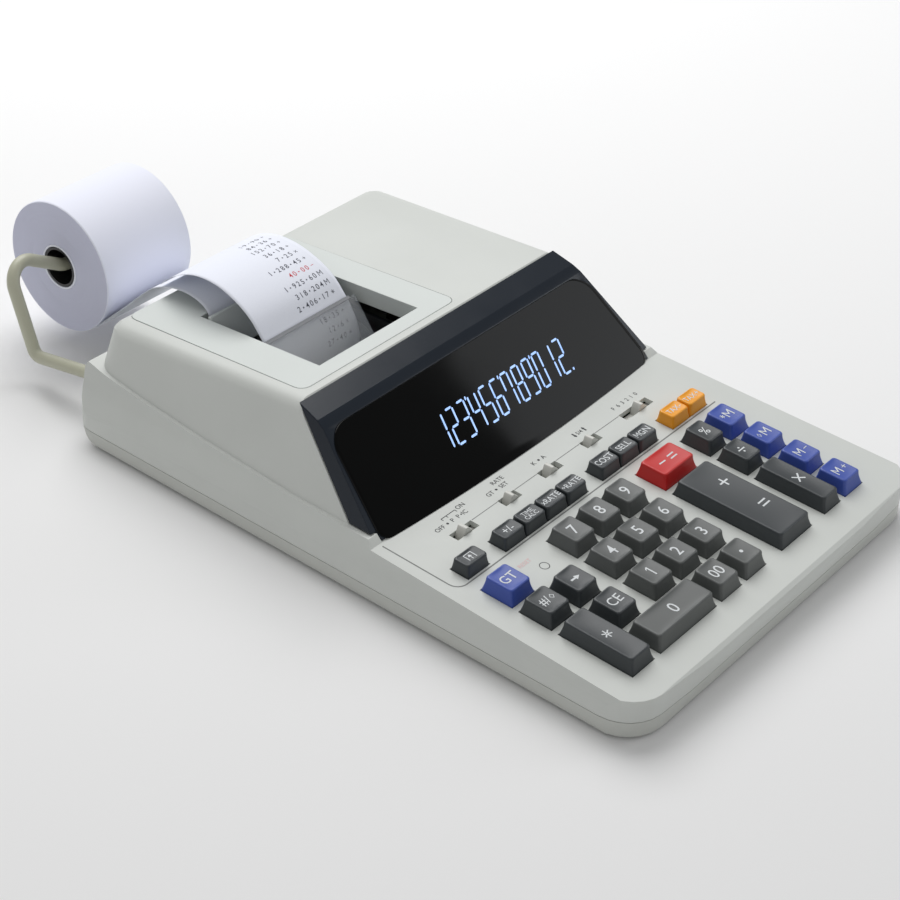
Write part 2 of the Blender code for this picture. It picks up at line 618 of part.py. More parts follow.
lean_z = (20.0, 70.0)
bezel = prism("display_bezel", [[FACE_LOW, BEZEL_HEEL, BEZEL_CREST, BEZEL_TOP, BAR_LOW, FACE_HIGH]], "X",
              -112.0, 112.0, NAVY)
combine(bezel, prism("bezel_section", [[(-bezel_half(lean_z[0]), lean_z[0]), (bezel_half(lean_z[0]), lean_z[0]),
                                        (bezel_half(lean_z[1]), lean_z[1]), (-bezel_half(lean_z[1]), lean_z[1])]],
                     "Y", -60.0, 80.0), "INTERSECT")
shoulders = [(-130.0, -BEZEL_SHOULDER, -30.0, 10.0, 20.0, BEZEL_SHOULDER_Z),
             (BEZEL_SHOULDER, 130.0, -30.0, 10.0, 20.0, BEZEL_SHOULDER_Z)]
combine(bezel, boxes("bezel_shoulders", shoulders), "DIFFERENCE")
pane_top = slope_length - PANE_TOP_MARGIN
pane_corners = [(-PANE_LOW_HALF, PANE_LOW_EDGE), (PANE_LOW_HALF, PANE_LOW_EDGE), (PANE_HIGH_HALF, pane_top),
                (-PANE_HIGH_HALF, pane_top)]
pane_outline = rounded_path(pane_corners, PANE_CORNERS, 5)
combine(bezel, sloping_prism("pane_recess", inset(pane_outline, -GAP), -4.0, PANE_THICKNESS + GAP), "DIFFERENCE")
combine(bezel, sloping_prism("bezel_hole", tube_hole, 1.0, TUBE_HOLE_DEPTH), "DIFFERENCE")
sloping_prism("display_window", pane_outline, 0.0, PANE_THICKNESS, PANE)
tube_x, tube_up = TUBE_SIZE[0] / 2, TUBE_LOW_EDGE + TUBE_SIZE[1]
tube_outline = [(-tube_x, TUBE_LOW_EDGE), (tube_x, TUBE_LOW_EDGE), (tube_x, tube_up), (-tube_x, tube_up)]
sloping_prism("display_tube", tube_outline, PANE_THICKNESS + 1.0, PANE_THICKNESS + 1.0 + TUBE_SIZE[2], TUBE)

# Printer cover with its paper opening, collar and paper guide
cover = top_band("printer_cover", (-100.0, 40.0), (30.0, 170.0), 0.0, COVER_THICKNESS, COVER)
combine(cover, prism("cover_plan", [cover_outline], "Z", 40.0, 80.0), "INTERSECT")
outer_x = (OPENING_X[0] - COLLAR_WALL, OPENING_X[1] + COLLAR_WALL)
outer_y = (OPENING_Y[0] - COLLAR_WALL, OPENING_Y[1] + COLLAR_WALL)
combine(cover, top_band("collar", outer_x, outer_y, COVER_THICKNESS * 0.5, COLLAR_DEPTH), "UNION")
combine(cover, boxes("paper_opening", [(*OPENING_X, *OPENING_Y, 40.0, 80.0)]), "DIFFERENCE")

guide_back = GUIDE_TOP[0] + GUIDE_THICKNESS
guide = [GUIDE_LOW, (GUIDE_LOW[0] + GUIDE_THICKNESS, GUIDE_LOW[1]), (guide_back, GUIDE_TOP[1] - GUIDE_LIP),
         (guide_back, GUIDE_TOP[1]), GUIDE_TOP]
prism("paper_guide", [guide], "X", OPENING_X[0] + GAP, OPENING_X[1] - GAP, GUIDE)
upper_tear = [(TEAR_X[0], *TEAR_LOW), (TEAR_LOW_RIGHT, *TEAR_LOW), (TEAR_X[1], *TEAR_TOP), (TEAR_X[0], *TEAR_TOP)]
lower_tear = [(x, y, z - TEAR_THICKNESS) for x, y, z in upper_tear]
corner_box("tear_plate", lower_tear, upper_tear, (), SMOKE)

prism("paper_tape", [ribbon(TAPE_PATH, PAPER_THICKNESS)], "X", *PAPER_X, PAPER)
prism("paper_web", [ribbon(WEB_PATH, PAPER_THICKNESS)], "X", *PAPER_X, WEB)

# Paper roll on its ribbed core, and the bent arm that carries it
roll_centre = (sum(PAPER_X) / 2, ROLL_Y, ROLL_Z)
roll_middle = (ROLL_Y, ROLL_Z)
smooth(prism("paper_roll", [circle(ROLL_RADIUS, roll_middle, 96), circle(CORE_RADIUS + GAP, roll_middle, 48)], "X",
             *PAPER_X, ROLL, roll_centre))
core = prism("roll_core", [circle(CORE_RADIUS, roll_middle), circle(CORE_RADIUS - CORE_WALL, roll_middle)], "X",
             *PAPER_X, CORE, roll_centre)
sector_loops = [circle(CORE_RADIUS - CORE_WALL / 2, roll_middle), circle(ARM_RADIUS + ARM_CLEARANCE, roll_middle, 24)]
for rib in range(CORE_RIBS):
    start = 2 * math.pi * rib / CORE_RIBS + RIB_HALF_ANGLE
    end = 2 * math.pi * (rib + 1) / CORE_RIBS - RIB_HALF_ANGLE
    hollow = ring_sector(SLEEVE_RADIUS, CORE_RADIUS - CORE_WALL, start, end)
    sector_loops.append([(ROLL_Y + y, ROLL_Z + z) for y, z in hollow])
combine(core, prism("core_ribs", sector_loops, "X", *SLEEVE_X, None, roll_centre), "UNION")

arm_curve = bpy.data.curves.new("roll_arm", "CURVE")
arm_curve.dimensions = "3D"
arm_curve.bevel_depth = ARM_RADIUS * MM
arm_curve.bevel_resolution = 3
arm_curve.use_fill_caps = True
arm_points = rounded_path(ARM_CORNERS, [0.0, *ARM_BENDS, 0.0], 7, closed=False)
arm_spline = arm_curve.splines.new("POLY")
arm_spline.points.add(len(arm_points) - 1)
for arm_point, place in zip(arm_spline.points, arm_points):
    arm_point.co = (*(place * MM), 1.0)
arm = bpy.data.objects.new("roll_arm", arm_curve)
keep(arm, PARTS, ARM)

# Printer mechanism under the opening
frame_inner = (FRAME_X[0] + FRAME_PLATE, FRAME_X[1] - FRAME_PLATE)
frame = boxes("printer_frame", [(*FRAME_X, *FRAME_Y, *FRAME_Z)], STEEL)
combine(frame, boxes("frame_hollow", [(*frame_inner, FRAME_Y[0] - 5.0, FRAME_Y[1] + 5.0, FRAME_Z[0] + FRAME_PLATE,
                                       FRAME_Z[1] + 5.0)]), "DIFFERENCE")
combine(frame, rods("frame_motor", [(FRAME_X[1] - 1.0, FRAME_X[1] + MOTOR_LENGTH, *MOTOR_YZ, MOTOR_RADIUS)]), "UNION")
combine(frame, rods("frame_bearings", [
    (FRAME_X[0] - 2.0, FRAME_X[0] + FRAME_PLATE + 1.0, *PLATEN_YZ, PLATEN_AXLE + BEARING_CLEARANCE),
    (FRAME_X[0] - 2.0, FRAME_X[0] + FRAME_PLATE + 1.0, *DRUM_YZ, DRUM_AXLE + BEARING_CLEARANCE),
    (FRAME_X[1] - FRAME_PLATE - 1.0, FRAME_X[1] + 2.0, *PLATEN_YZ, PLATEN_AXLE + BEARING_CLEARANCE),
    (FRAME_X[1] - FRAME_PLATE - 1.0, FRAME_X[1] + 2.0, *DRUM_YZ, DRUM_AXLE + BEARING_CLEARANCE)]), "DIFFERENCE")


def roller(name, centre, radius, axle, surface):
    """A roller turned in one piece with its axle, made by spinning a profile round the X axis."""
    left, right = frame_inner[0] + ROLLER_GAP, frame_inner[1] - ROLLER_GAP
    near_end, far_end = FRAME_X[0] - AXLE_END, FRAME_X[1] + AXLE_END
    profile = [(far_end, 0.0), (far_end, axle), (right, axle), (right, radius), (left, radius), (left, axle),
               (near_end, axle), (near_end, 0.0)]
    bm = bmesh.new()
    verts = [bm.verts.new((x, r, 0.0)) for x, r in profile]
    for one, two in zip(verts, verts[1:]):
        bm.edges.new((one, two))
    bmesh.ops.spin(bm, geom=bm.verts[:] + bm.edges[:], axis=(1, 0, 0), cent=(0, 0, 0), angle=2 * math.pi, steps=32,
                   use_merge=True, use_duplicate=False)
    bmesh.ops.remove_doubles(bm, verts=bm.verts, dist=0.001)
    bmesh.ops.translate(bm, vec=(0.0, *centre), verts=bm.verts)
    smooth(from_bmesh(name, bm, surface, (sum(FRAME_X) / 2, *centre)))


roller("platen_roller", PLATEN_YZ, PLATEN_RADIUS, PLATEN_AXLE, RUBBER)
roller("print_drum", DRUM_YZ, DRUM_RADIUS, DRUM_AXLE, DRUM)

transformer = boxes("transformer", [TRANSFORMER_CORE], IRON)
combine(transformer, boxes("transformer_coil", [TRANSFORMER_COIL]), "UNION")

# Circuit board and rubber key sheet, parallel to the deck
board_low = SHEET_DEPTH + SHEET_THICKNESS + GAP


def deck_band(name, x, y, depth_low, depth_high, surface):
    corners = [(y[0], deck_z(y[0]) - depth_high), (y[1], deck_z(y[1]) - depth_high), (y[1], deck_z(y[1]) - depth_low),
               (y[0], deck_z(y[0]) - depth_low)]
    return prism(name, [corners], "X", *x, surface)


deck_band("keypad_sheet", SHEET_X, SHEET_Y, SHEET_DEPTH, SHEET_DEPTH + SHEET_THICKNESS, SHEET)
deck_band("main_board", BOARD_X, BOARD_Y, board_low, board_low + BOARD_THICKNESS, BOARD)

for label, first, last, front_row, back_row, colour in LARGE_KEYS:
    key(label, (COLUMNS[first][0], COLUMNS[last][1]), (ROWS[front_row][0], ROWS[back_row][1]), KEY_HEIGHT, KEY_INSETS,
        colour)
for label, left, width, colour in SMALL_KEYS:
    key(label, (left, left + width), SMALL_ROW, SMALL_HEIGHT, SMALL_INSETS, colour)

def knob_outline(plate_half):
    """Outline (X, Z) of a knob about its middle at the deck: plate below, ridge above with a ramp to its right."""
    return [(-KNOB_HALF, -1.0), (-KNOB_HALF, KNOB_PLATE[1]), (-plate_half, KNOB_PLATE[1]), (-plate_half, KNOB_PLATE[0]),
            (plate_half, KNOB_PLATE[0]), (plate_half, KNOB_PLATE[1]), (KNOB_HALF, KNOB_PLATE[1]), (KNOB_HALF, 0.3),
            (0.6, KNOB_HEIGHT - 0.6), (0.2, KNOB_HEIGHT), (-1.4, KNOB_HEIGHT), (-1.9, KNOB_HEIGHT - 0.5)]


# Slide switches: each plate runs under the deck and closes the slot wherever the knob stands
for label, left, right, middle in SWITCHES:
    middle_y = sum(SLOT_Y) / 2
    deck = deck_z(middle_y)
    points = [(middle + x, deck + z) for x, z in knob_outline(right - left - KNOB_HALF + 0.5)]
    prism(label, [points], "Y", SLOT_Y[0] + GAP, SLOT_Y[1] - GAP, material(label, (0.60, 0.61, 0.58), 0.45),
          (middle, middle_y, deck))

# Everything moves so that the model's bounding box is centred on the origin
for made in list(PARTS.objects) + list(CUTTERS.objects):
    made.location.y += DATUM_Y * MM
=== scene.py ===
# %% [markdown]
# # A desk calculator that prints on a paper roll
# The frame gives every body, joint and size. This lesson builds the looks around it, piece by piece. Lengths
# are millimetres in the case's own frame and become metres in one place, `world`.

import math

import bmesh
import bpy
import numpy as np
from mathutils import Matrix, Vector

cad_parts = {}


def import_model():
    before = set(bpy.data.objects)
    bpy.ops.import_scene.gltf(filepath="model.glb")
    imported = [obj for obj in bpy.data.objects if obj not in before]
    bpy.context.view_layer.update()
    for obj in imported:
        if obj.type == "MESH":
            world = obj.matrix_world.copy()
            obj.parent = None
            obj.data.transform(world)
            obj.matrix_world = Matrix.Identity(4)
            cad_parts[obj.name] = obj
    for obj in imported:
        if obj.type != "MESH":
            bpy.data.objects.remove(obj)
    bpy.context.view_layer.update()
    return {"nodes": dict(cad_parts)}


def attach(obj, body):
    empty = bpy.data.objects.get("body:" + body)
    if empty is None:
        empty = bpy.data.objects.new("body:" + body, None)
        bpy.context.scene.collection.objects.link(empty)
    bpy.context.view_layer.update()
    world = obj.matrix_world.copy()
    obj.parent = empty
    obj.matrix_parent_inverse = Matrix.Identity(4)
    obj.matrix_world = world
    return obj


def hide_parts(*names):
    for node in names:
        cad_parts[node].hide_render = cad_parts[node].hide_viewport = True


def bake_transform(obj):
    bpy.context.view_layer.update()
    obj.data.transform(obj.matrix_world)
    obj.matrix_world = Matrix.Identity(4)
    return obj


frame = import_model()

# %% [markdown]
# ## Frame of the case
# The model's box is centred on the origin, so the case's own Y runs 49.7 mm ahead of the world's. The deck is
# a gently sloping plane, and the display's face is a steep one.

# %% Shared measures
MM = 0.001
DATUM_Y = -49.7
DECK_AT_ZERO, DECK_SLOPE = 24.67, 0.0293
FACE_LOW, FACE_HIGH = np.array([-17.4, 24.6]), np.array([22.6, 60.4])
FACE_LENGTH = float(np.hypot(*(FACE_HIGH - FACE_LOW)))
FACE_ALONG = (FACE_HIGH - FACE_LOW) / FACE_LENGTH
FACE_OUT = np.array([-FACE_ALONG[1], FACE_ALONG[0]])


def world(points):
    """Points in the case's frame, in millimetres, as metres in the model's frame."""
    points = np.asarray(points, float).reshape(-1, 3)
    return (points + [0.0, DATUM_Y, 0.0]) * MM


def deck_z(y):
    return DECK_AT_ZERO + DECK_SLOPE * np.asarray(y, float)


def on_face(x, up, out):
    """A point on the display's face: across, up the slope and out of it."""
    flat = FACE_LOW + np.outer(np.atleast_1d(up), FACE_ALONG) + np.outer(np.atleast_1d(out), FACE_OUT)
    return np.column_stack([np.broadcast_to(x, len(flat)), flat])


print("display face", round(FACE_LENGTH, 1), "mm up the slope at",
      round(math.degrees(math.atan2(FACE_ALONG[1], FACE_ALONG[0])), 1), "degrees")

# %% [markdown]
# ## Writing materials as expressions
# A small class wraps a node socket, so that shader maths reads as arithmetic. `Shader` starts a Principled
# material and adds any other node by its type.

# %% Material helpers


class Value:
    """A node socket that can be added to, multiplied and so on."""

    def __init__(self, shader, socket):
        self.shader, self.socket = shader, socket

    def _math(self, operation, *others):
        return self.shader.node("Math", {"operation": operation}, [self, *others]).out()

    def __add__(self, other):
        return self._math("ADD", other)

    def __sub__(self, other):
        return self._math("SUBTRACT", other)

    def __mul__(self, other):
        return self._math("MULTIPLY", other)

    def __rsub__(self, other):
        return self.shader.node("Math", {"operation": "SUBTRACT"}, [other, self]).out()

    __radd__, __rmul__ = __add__, __mul__

    def power(self, other):
        return self._math("POWER", other)

    def above(self, edge):
        return self._math("GREATER_THAN", edge)

    def sine(self):
        return self._math("SINE")


class Node:
    def __init__(self, shader, made):
        self.shader, self.made = shader, made

    def out(self, name=0):
        return Value(self.shader, self.made.outputs[name])


class Shader:
    """A Principled material whose inputs can be set from values or from node expressions."""

    def __init__(self, name, roughness, metallic=0.0, **constants):
        self.material = bpy.data.materials.new(name)
        self.material.use_nodes = True
        self.tree = self.material.node_tree
        self.main = self.tree.nodes["Principled BSDF"]
        self.set(self.main, "Roughness", roughness)
        self.set(self.main, "Metallic", metallic)
        for key, value in constants.items():
            self.set(self.main, key.replace("_", " "), value)

    def set(self, node, key, value):
        socket = node.inputs[key]
        if isinstance(value, Value):
            self.tree.links.new(value.socket, socket)
        elif socket.type == "RGBA":
            socket.default_value = (*value, 1.0) if len(value) == 3 else value
        elif socket.type == "VECTOR" and not hasattr(value, "__len__"):
            socket.default_value = (value,) * 3
        else:
            socket.default_value = value

    def node(self, kind, settings, inputs):
        made = self.tree.nodes.new("ShaderNode" + kind)
        for key, value in settings.items():
            setattr(made, key, value)
        pairs = inputs.items() if isinstance(inputs, dict) else enumerate(inputs)
        for key, value in pairs:
            self.set(made, key, value)
        return Node(self, made)

    def place(self, scale=1.0):
        """Object coordinates in metres, scaled."""
        where = self.node("TexCoord", {}, {}).out("Object")
        return self.node("VectorMath", {"operation": "SCALE"}, {0: where, "Scale": scale}).out()

    def noise(self, scale, detail=3.0, rough=0.5):
        made = self.node("TexNoise", {}, {"Vector": self.place(), "Scale": scale, "Detail": detail,
                                          "Roughness": rough})
        return made.out("Fac")

    def axis(self, number):
        return self.node("SeparateXYZ", {}, [self.place()]).out(number)

    def mix(self, factor, one, two):
        return self.node("Mix", {"data_type": "RGBA"}, {0: factor, 6: one, 7: two}).out(2)

    def bump(self, height, distance, strength=1.0):
        made = self.node("Bump", {}, {"Strength": strength, "Distance": distance, "Height": height})
        self.set(self.main, "Normal", made.out())

    def base(self, value):
        self.set(self.main, "Base Color", value)

    def roughness(self, value):
        self.set(self.main, "Roughness", value)


def linear(*rgb):
    """A linear colour from 0..255 screen values."""
    share = np.array(rgb, float) / 255.0
    return tuple(np.where(share <= 0.04045, share / 12.92, ((share + 0.055) / 1.055) ** 2.4))


def plastic(name, colour, roughness, grain=2400.0, depth=0.00003, spread=0.06, **constants):
    """Moulded plastic: a fine sparked grain, slow colour drift and patches that are a little shinier."""
    made = Shader(name, roughness, **constants)
    drift = made.noise(18.0, 4.0)
    darker = tuple(c * (1.0 - spread) for c in colour)
    lighter = tuple(min(c * (1.0 + spread), 1.0) for c in colour)
    made.base(made.mix(drift, darker, lighter))
    made.roughness(roughness - 0.05 + made.noise(60.0, 3.0) * 0.1)
    made.bump(made.noise(grain, 2.0), depth, 0.35)
    return made.material


# %% [markdown]
# ## Geometry helpers
# Surfaces are grids of points handed over whole. `skin` copies a part's mesh, welds it and rounds its edges,
# so that the highlights run along them as they do on moulded plastic.

# %% Geometry helpers


def mesh_piece(name, points, faces, surface, body, smooth=None):
    """A finished mesh at the origin, riding on a body."""
    mesh = bpy.data.meshes.new(name)
    mesh.from_pydata(np.asarray(points).tolist(), [], [list(map(int, f)) for f in faces])
    mesh.materials.append(surface)
    mesh.update()
    if smooth is not None:
        mesh.shade_smooth()
        mesh.set_sharp_from_angle(angle=math.radians(smooth))
    made = bpy.data.objects.new(name, mesh)
    bpy.context.scene.collection.objects.link(made)
    if body:
        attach(made, body)
    return made


def grid_faces(rows, columns, closed_rows=False, closed_columns=False):
    """Quads of a grid of rows times columns points, numbered row by row."""
    last_row = rows if closed_rows else rows - 1
    last_column = columns if closed_columns else columns - 1
    i, j = np.meshgrid(np.arange(last_row), np.arange(last_column), indexing="ij")
    i, j = i.ravel(), j.ravel()
    i2, j2 = (i + 1) % rows, (j + 1) % columns
    return np.column_stack([i * columns + j, i * columns + j2, i2 * columns + j2, i2 * columns + j])


def outward(obj):
    bm = bmesh.new()
    bm.from_mesh(obj.data)
    bmesh.ops.remove_doubles(bm, verts=bm.verts, dist=1e-6)
    bmesh.ops.recalc_face_normals(bm, faces=bm.faces)
    bm.to_mesh(obj.data)
    bm.free()
    return obj


def skin(node, surface, body, radius, angle=26.0):
    """A welded copy of a part with rounded edges, standing for that part."""
    source = frame["nodes"][node].data
    bm = bmesh.new()
    bm.from_mesh(source)
    bmesh.ops.remove_doubles(bm, verts=bm.verts, dist=2e-6)
    bmesh.ops.dissolve_limit(bm, angle_limit=math.radians(0.6), verts=bm.verts, edges=bm.edges)
    mesh = bpy.data.meshes.new(node + "_skin")
    bm.to_mesh(mesh)
    bm.free()
    mesh.materials.clear()
    mesh.materials.append(surface)
    made = bpy.data.objects.new(node + "_skin", mesh)
    bpy.context.scene.collection.objects.link(made)
    if radius:
        bevel = made.modifiers.new("edges", "BEVEL")
        bevel.width = radius * MM
        bevel.segments = 3
        bevel.limit_method = "ANGLE"
        bevel.angle_limit = math.radians(angle)
    mesh.shade_smooth()
    mesh.set_sharp_from_angle(angle=math.radians(38.0))
    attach(made, body)
    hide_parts(node)
    return made

# %% [markdown]
# ## The case
# Two halves of pale grey plastic, and the printer cover let into the top. The lower half is a shade darker
# than the upper one.

# %% Case, cover and bezel
SHELL = plastic("shell", linear(206, 209, 205), 0.46, Specular_IOR_Level=0.35)
COVER = plastic("cover", linear(208, 213, 210), 0.44, Specular_IOR_Level=0.35)
BASE = plastic("base", linear(198, 200, 195), 0.5, Specular_IOR_Level=0.3)
NAVY = plastic("navy", linear(24, 32, 42), 0.24, grain=900.0, depth=0.00001, Specular_IOR_Level=0.3)
skin("upper_case", SHELL, "case", 0.45)
skin("lower_case", BASE, "case", 0.45)
skin("printer_cover", COVER, "cover", 0.25)
skin("display_bezel", NAVY, "case", 0.9)

# %% [markdown]
# ## Display pane
# One glossy black sheet. It bulges a little in the middle of its lower edge and meets the deck there, so it
# is a grid whose height out of the face falls away towards the sides and the top.

# %% Display pane
PANE_RISE, PANE_BULGE, PANE_HALF = 0.35, 2.4, 101.0
PANE_THICKNESS = 1.6


def corner_cut(distance, radius):
    """How far a rounded corner draws the side in, at a distance from the edge that the corner meets."""
    short = np.clip(radius - distance, 0.0, radius)
    return radius - np.sqrt(np.maximum(radius**2 - short**2, 0.0))


def pane_out(x, up):
    """Height of the pane out of the flat face: a parabola across, fading up the slope."""
    share = np.clip(up / FACE_LENGTH, 0.0, 1.0)
    return PANE_RISE + PANE_BULGE * (1.0 - (x / PANE_HALF) ** 2) * (1.0 - share) ** 1.6


def display_pane():
    across, rows = 97, 49
    u = np.linspace(-1.0, 1.0, across)
    v = (1.0 - np.cos(np.linspace(0.0, math.pi, rows))) / 2.0
    top = FACE_LENGTH - 0.9
    points = []
    for share in v:
        half = 100.9 - 7.6 * share - corner_cut(share * top, 7.0) - corner_cut((1.0 - share) * top, 11.0)
        x = u * half
        lower = (-0.25 - 0.745 * pane_out(x, 0.0)) / 0.667
        up = lower + (top - lower) * share
        points.append(on_face(x, up, pane_out(x, up)))
    faces = grid_faces(rows, across)
    points = world(np.concatenate(points))
    made = mesh_piece("display_pane", points, faces, PANE, "case", 60.0)
    solid = made.modifiers.new("sheet", "SOLIDIFY")
    solid.thickness = PANE_THICKNESS * MM
    solid.offset = -1.0
    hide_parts("display_window")
    return made


pane_shader = Shader("pane", 0.07, Specular_IOR_Level=0.12)
pane_shader.base(pane_shader.mix(pane_shader.noise(30.0), (0.0008, 0.001, 0.001), (0.0016, 0.0018, 0.0018)))
pane_shader.roughness(0.06 + pane_shader.noise(90.0) * 0.03)
PANE = pane_shader.material
display_pane()

# %% [markdown]
# ## Digits
# Twelve slanted seven-segment digits glow on the pane. Each segment is a thin hexagon; the shape is laid on
# the pane's own surface, a hair in front of it.

# %% Digits of the display
SEGMENTS = {"1": "bc", "2": "abged", "3": "abgcd", "4": "fgbc", "5": "afgcd", "6": "afgcde", "7": "abcf",
            "8": "abcdefg", "9": "abcdfg", "0": "abcdef"}
DIGIT_PITCH, DIGIT_WIDTH, DIGIT_HEIGHT, STROKE, SLANT = 8.0, 4.8, 16.6, 1.05, 0.24
DIGITS_LEFT, DIGITS_UP, DIGITS_LIFT = -42.6, 15.9, 0.05
POINT_GAP, POINT_WIDTH = 1.3, 1.1


def bar(x0, y0, x1, y1, width):
    """A pointed bar between two points: six corners."""
    start, end = np.array([x0, y0]), np.array([x1, y1])
    along = (end - start) / np.hypot(*(end - start))
    across = np.array([-along[1], along[0]]) * width / 2
    inner = along * width / 2
    start, end = start + along * 0.25, end - along * 0.25
    one_side = [start, start + inner + across, end - inner + across]
    return [*one_side, end, end - inner - across, start + inner - across]


def digit_bars(figure):
    w, h, m = DIGIT_WIDTH, DIGIT_HEIGHT, DIGIT_HEIGHT / 2
    ends = {"a": (0, h, w, h), "b": (w, m, w, h), "c": (w, 0, w, m), "d": (0, 0, w, 0), "e": (0, 0, 0, m),
            "f": (0, m, 0, h), "g": (0, m, w, m)}
    return [bar(*ends[name], STROKE) for name in SEGMENTS[figure]]


def display_digits():
    flat, faces = [], []
    outlines = []
    for place, figure in enumerate("123456789012"):
        for outline in digit_bars(figure):
            outlines.append(np.array(outline) + [place * DIGIT_PITCH, 0.0])
    for place in (3, 6, 9):
        start = (place * DIGIT_PITCH - 1.55, DIGIT_HEIGHT - 1.6)
        outlines.append(np.array(bar(*start, place * DIGIT_PITCH - 1.2, DIGIT_HEIGHT + 0.9, 0.9)))
    dot = 11 * DIGIT_PITCH + DIGIT_WIDTH + POINT_GAP
    corners = [(dot, -0.4), (dot + POINT_WIDTH, -0.4), (dot + POINT_WIDTH, 0.8), (dot, 0.8)]
    outlines.append(np.array(corners))
    for outline in outlines:
        faces.append(list(range(len(flat), len(flat) + len(outline)))[::-1])
        flat.extend(outline.tolist())
    flat = np.array(flat)
    x = DIGITS_LEFT + flat[:, 0] + SLANT * flat[:, 1]
    up = DIGITS_UP + flat[:, 1]
    points = world(on_face(x, up, pane_out(x, up) + DIGITS_LIFT))
    made = mesh_piece("display_digits", points, faces, GLOW, "case", None)
    made.data.flip_normals()
    return made


glow_shader = Shader("glow", 0.5, Emission_Strength=1.35)
glow_shader.base(linear(60, 80, 120))
glow_shader.set(glow_shader.main, "Emission Color",
                glow_shader.mix(glow_shader.noise(260.0), linear(130, 168, 228), linear(176, 204, 246)))
GLOW = glow_shader.material
display_digits()

# %% [markdown]
# ## Keycaps
# A cap is a stack of rounded rectangles: straight where it leaves the deck, then drawn in, then a rounded
# shoulder, then a shallow dish for the fingertip. One function makes them all from the key's size.

# %% Keycaps
COLUMNS = {"A": (-95.9, -80.5), "B": (-76.1, -61.0), "C": (-50.0, -34.4), "D": (-30.5, -14.9),
           "E": (-11.0, 4.5), "F": (17.3, 42.5), "G": (53.6, 67.4), "H": (71.5, 86.7)}
ROWS = {1: (-84.9, -68.1), 2: (-105.4, -88.5), 3: (-125.8, -109.0), 4: (-146.3, -129.5)}
KEY_HEIGHT, SMALL_HEIGHT = 7.0, 5.8
KEY_INSETS, SMALL_INSETS = (1.0, 1.6, 0.95), (0.4, 0.85, 0.45)
CORNER_POINTS, SIDE_POINTS = 7, 11
SHOULDER = 0.8
DISH = 0.5
CAP_FOOT, CAP_STRAIGHT, TOP_CORNER = -3.4, 0.5, 1.6


def rounded_ring(x0, x1, y0, y1, radius):
    """A rounded rectangle, anticlockwise: four arcs, each followed by even points along the next side."""
    angles = np.linspace(0.0, math.pi / 2, CORNER_POINTS)
    arcs = []
    for turn, (cx, cy) in enumerate([(x1 - radius, y1 - radius), (x0 + radius, y1 - radius),
                                     (x0 + radius, y0 + radius), (x1 - radius, y0 + radius)]):
        a = angles + turn * math.pi / 2
        arcs.append(np.column_stack([cx + radius * np.cos(a), cy + radius * np.sin(a)]))
    share = np.linspace(0.0, 1.0, SIDE_POINTS + 2)[1:-1, None]
    sides = [arcs[i][-1] * (1.0 - share) + arcs[(i + 1) % 4][0] * share for i in range(4)]
    return np.concatenate([part for pair in zip(arcs, sides) for part in pair])


def key_top_z(x, y, span, height):
    """Height of the dished top: lowest in the middle, level at the rim."""
    x0, x1, y0, y1 = span
    u = (x - (x0 + x1) / 2) / ((x1 - x0) / 2)
    v = (y - (y0 + y1) / 2) / ((y1 - y0) / 2)
    edge = np.clip(1.0 - v**6, 0.0, 1.0)
    dish = DISH * np.clip(1.0 - u**2, 0.0, 1.0) * edge
    return deck_z(y) + height - dish


def key_cap(name, x, y, height, insets, surface):
    x0, x1 = x
    y0, y1 = y
    side, front, back = insets
    span = (x0 + side, x1 - side, y0 + front, y1 - back)
    levels = [(CAP_FOOT, 0.0, 1.0), (CAP_STRAIGHT, 0.0, 1.0)]
    for rise in (0.2, 0.4, 0.6, 0.8, 1.0):
        level = CAP_STRAIGHT + rise * (height - SHOULDER - CAP_STRAIGHT)
        levels.append((level, 1.0 - (1.0 - rise) ** 1.7, 1.0 + 0.6 * rise))
    rings = []
    for rise, share, radius in levels:
        across = (x0 + side * share, x1 - side * share)
        ring = rounded_ring(*across, y0 + front * share, y1 - back * share, radius)
        rings.append(np.column_stack([ring, deck_z(ring[:, 1]) + rise]))
    for angle in (22.5, 45.0, 67.5, 90.0):
        a = math.radians(angle)
        draw = SHOULDER * (1.0 - math.cos(a))
        ring = rounded_ring(span[0] + draw, span[1] - draw, span[2] + draw, span[3] - draw, TOP_CORNER)
        flat_z = deck_z(ring[:, 1]) + height - SHOULDER + SHOULDER * math.sin(a)
        rings.append(np.column_stack([ring, flat_z]))
    rim = rings[-1]
    middle = np.array([(x0 + x1) / 2, (span[2] + span[3]) / 2])
    inner = (span[0] + SHOULDER, span[1] - SHOULDER, span[2] + SHOULDER, span[3] - SHOULDER)
    for share in (0.97, 0.92, 0.84, 0.74, 0.62, 0.5, 0.38, 0.26, 0.14, 0.06):
        flat = middle + (rim[:, :2] - middle) * share
        dished = key_top_z(flat[:, 0], flat[:, 1], inner, height)
        rings.append(np.column_stack([flat, dished]))
    count = len(rim)
    centre_z = key_top_z(middle[:1], middle[1:], inner, height)
    floor_z = deck_z((y0 + y1) / 2) + CAP_FOOT
    ends = [[*middle, float(centre_z[0])], [(x0 + x1) / 2, (y0 + y1) / 2, float(floor_z)]]
    points = np.concatenate([*rings, ends])
    faces = grid_faces(len(rings), count, closed_columns=True).tolist()
    last = (len(rings) - 1) * count
    peak, pit = len(points) - 2, len(points) - 1
    faces += [[last + i, last + (i + 1) % count, peak] for i in range(count)]
    faces += [[(i + 1) % count, i, pit] for i in range(count)]
    made = mesh_piece(name + "_cap", world(points), faces, surface, name, 70.0)
    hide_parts(name)
    return inner


def key_plastic(name, colour):
    """Keycap plastic: finer grain than the case."""
    return plastic(name, colour, 0.40, grain=3000.0, depth=0.000015, spread=0.08)


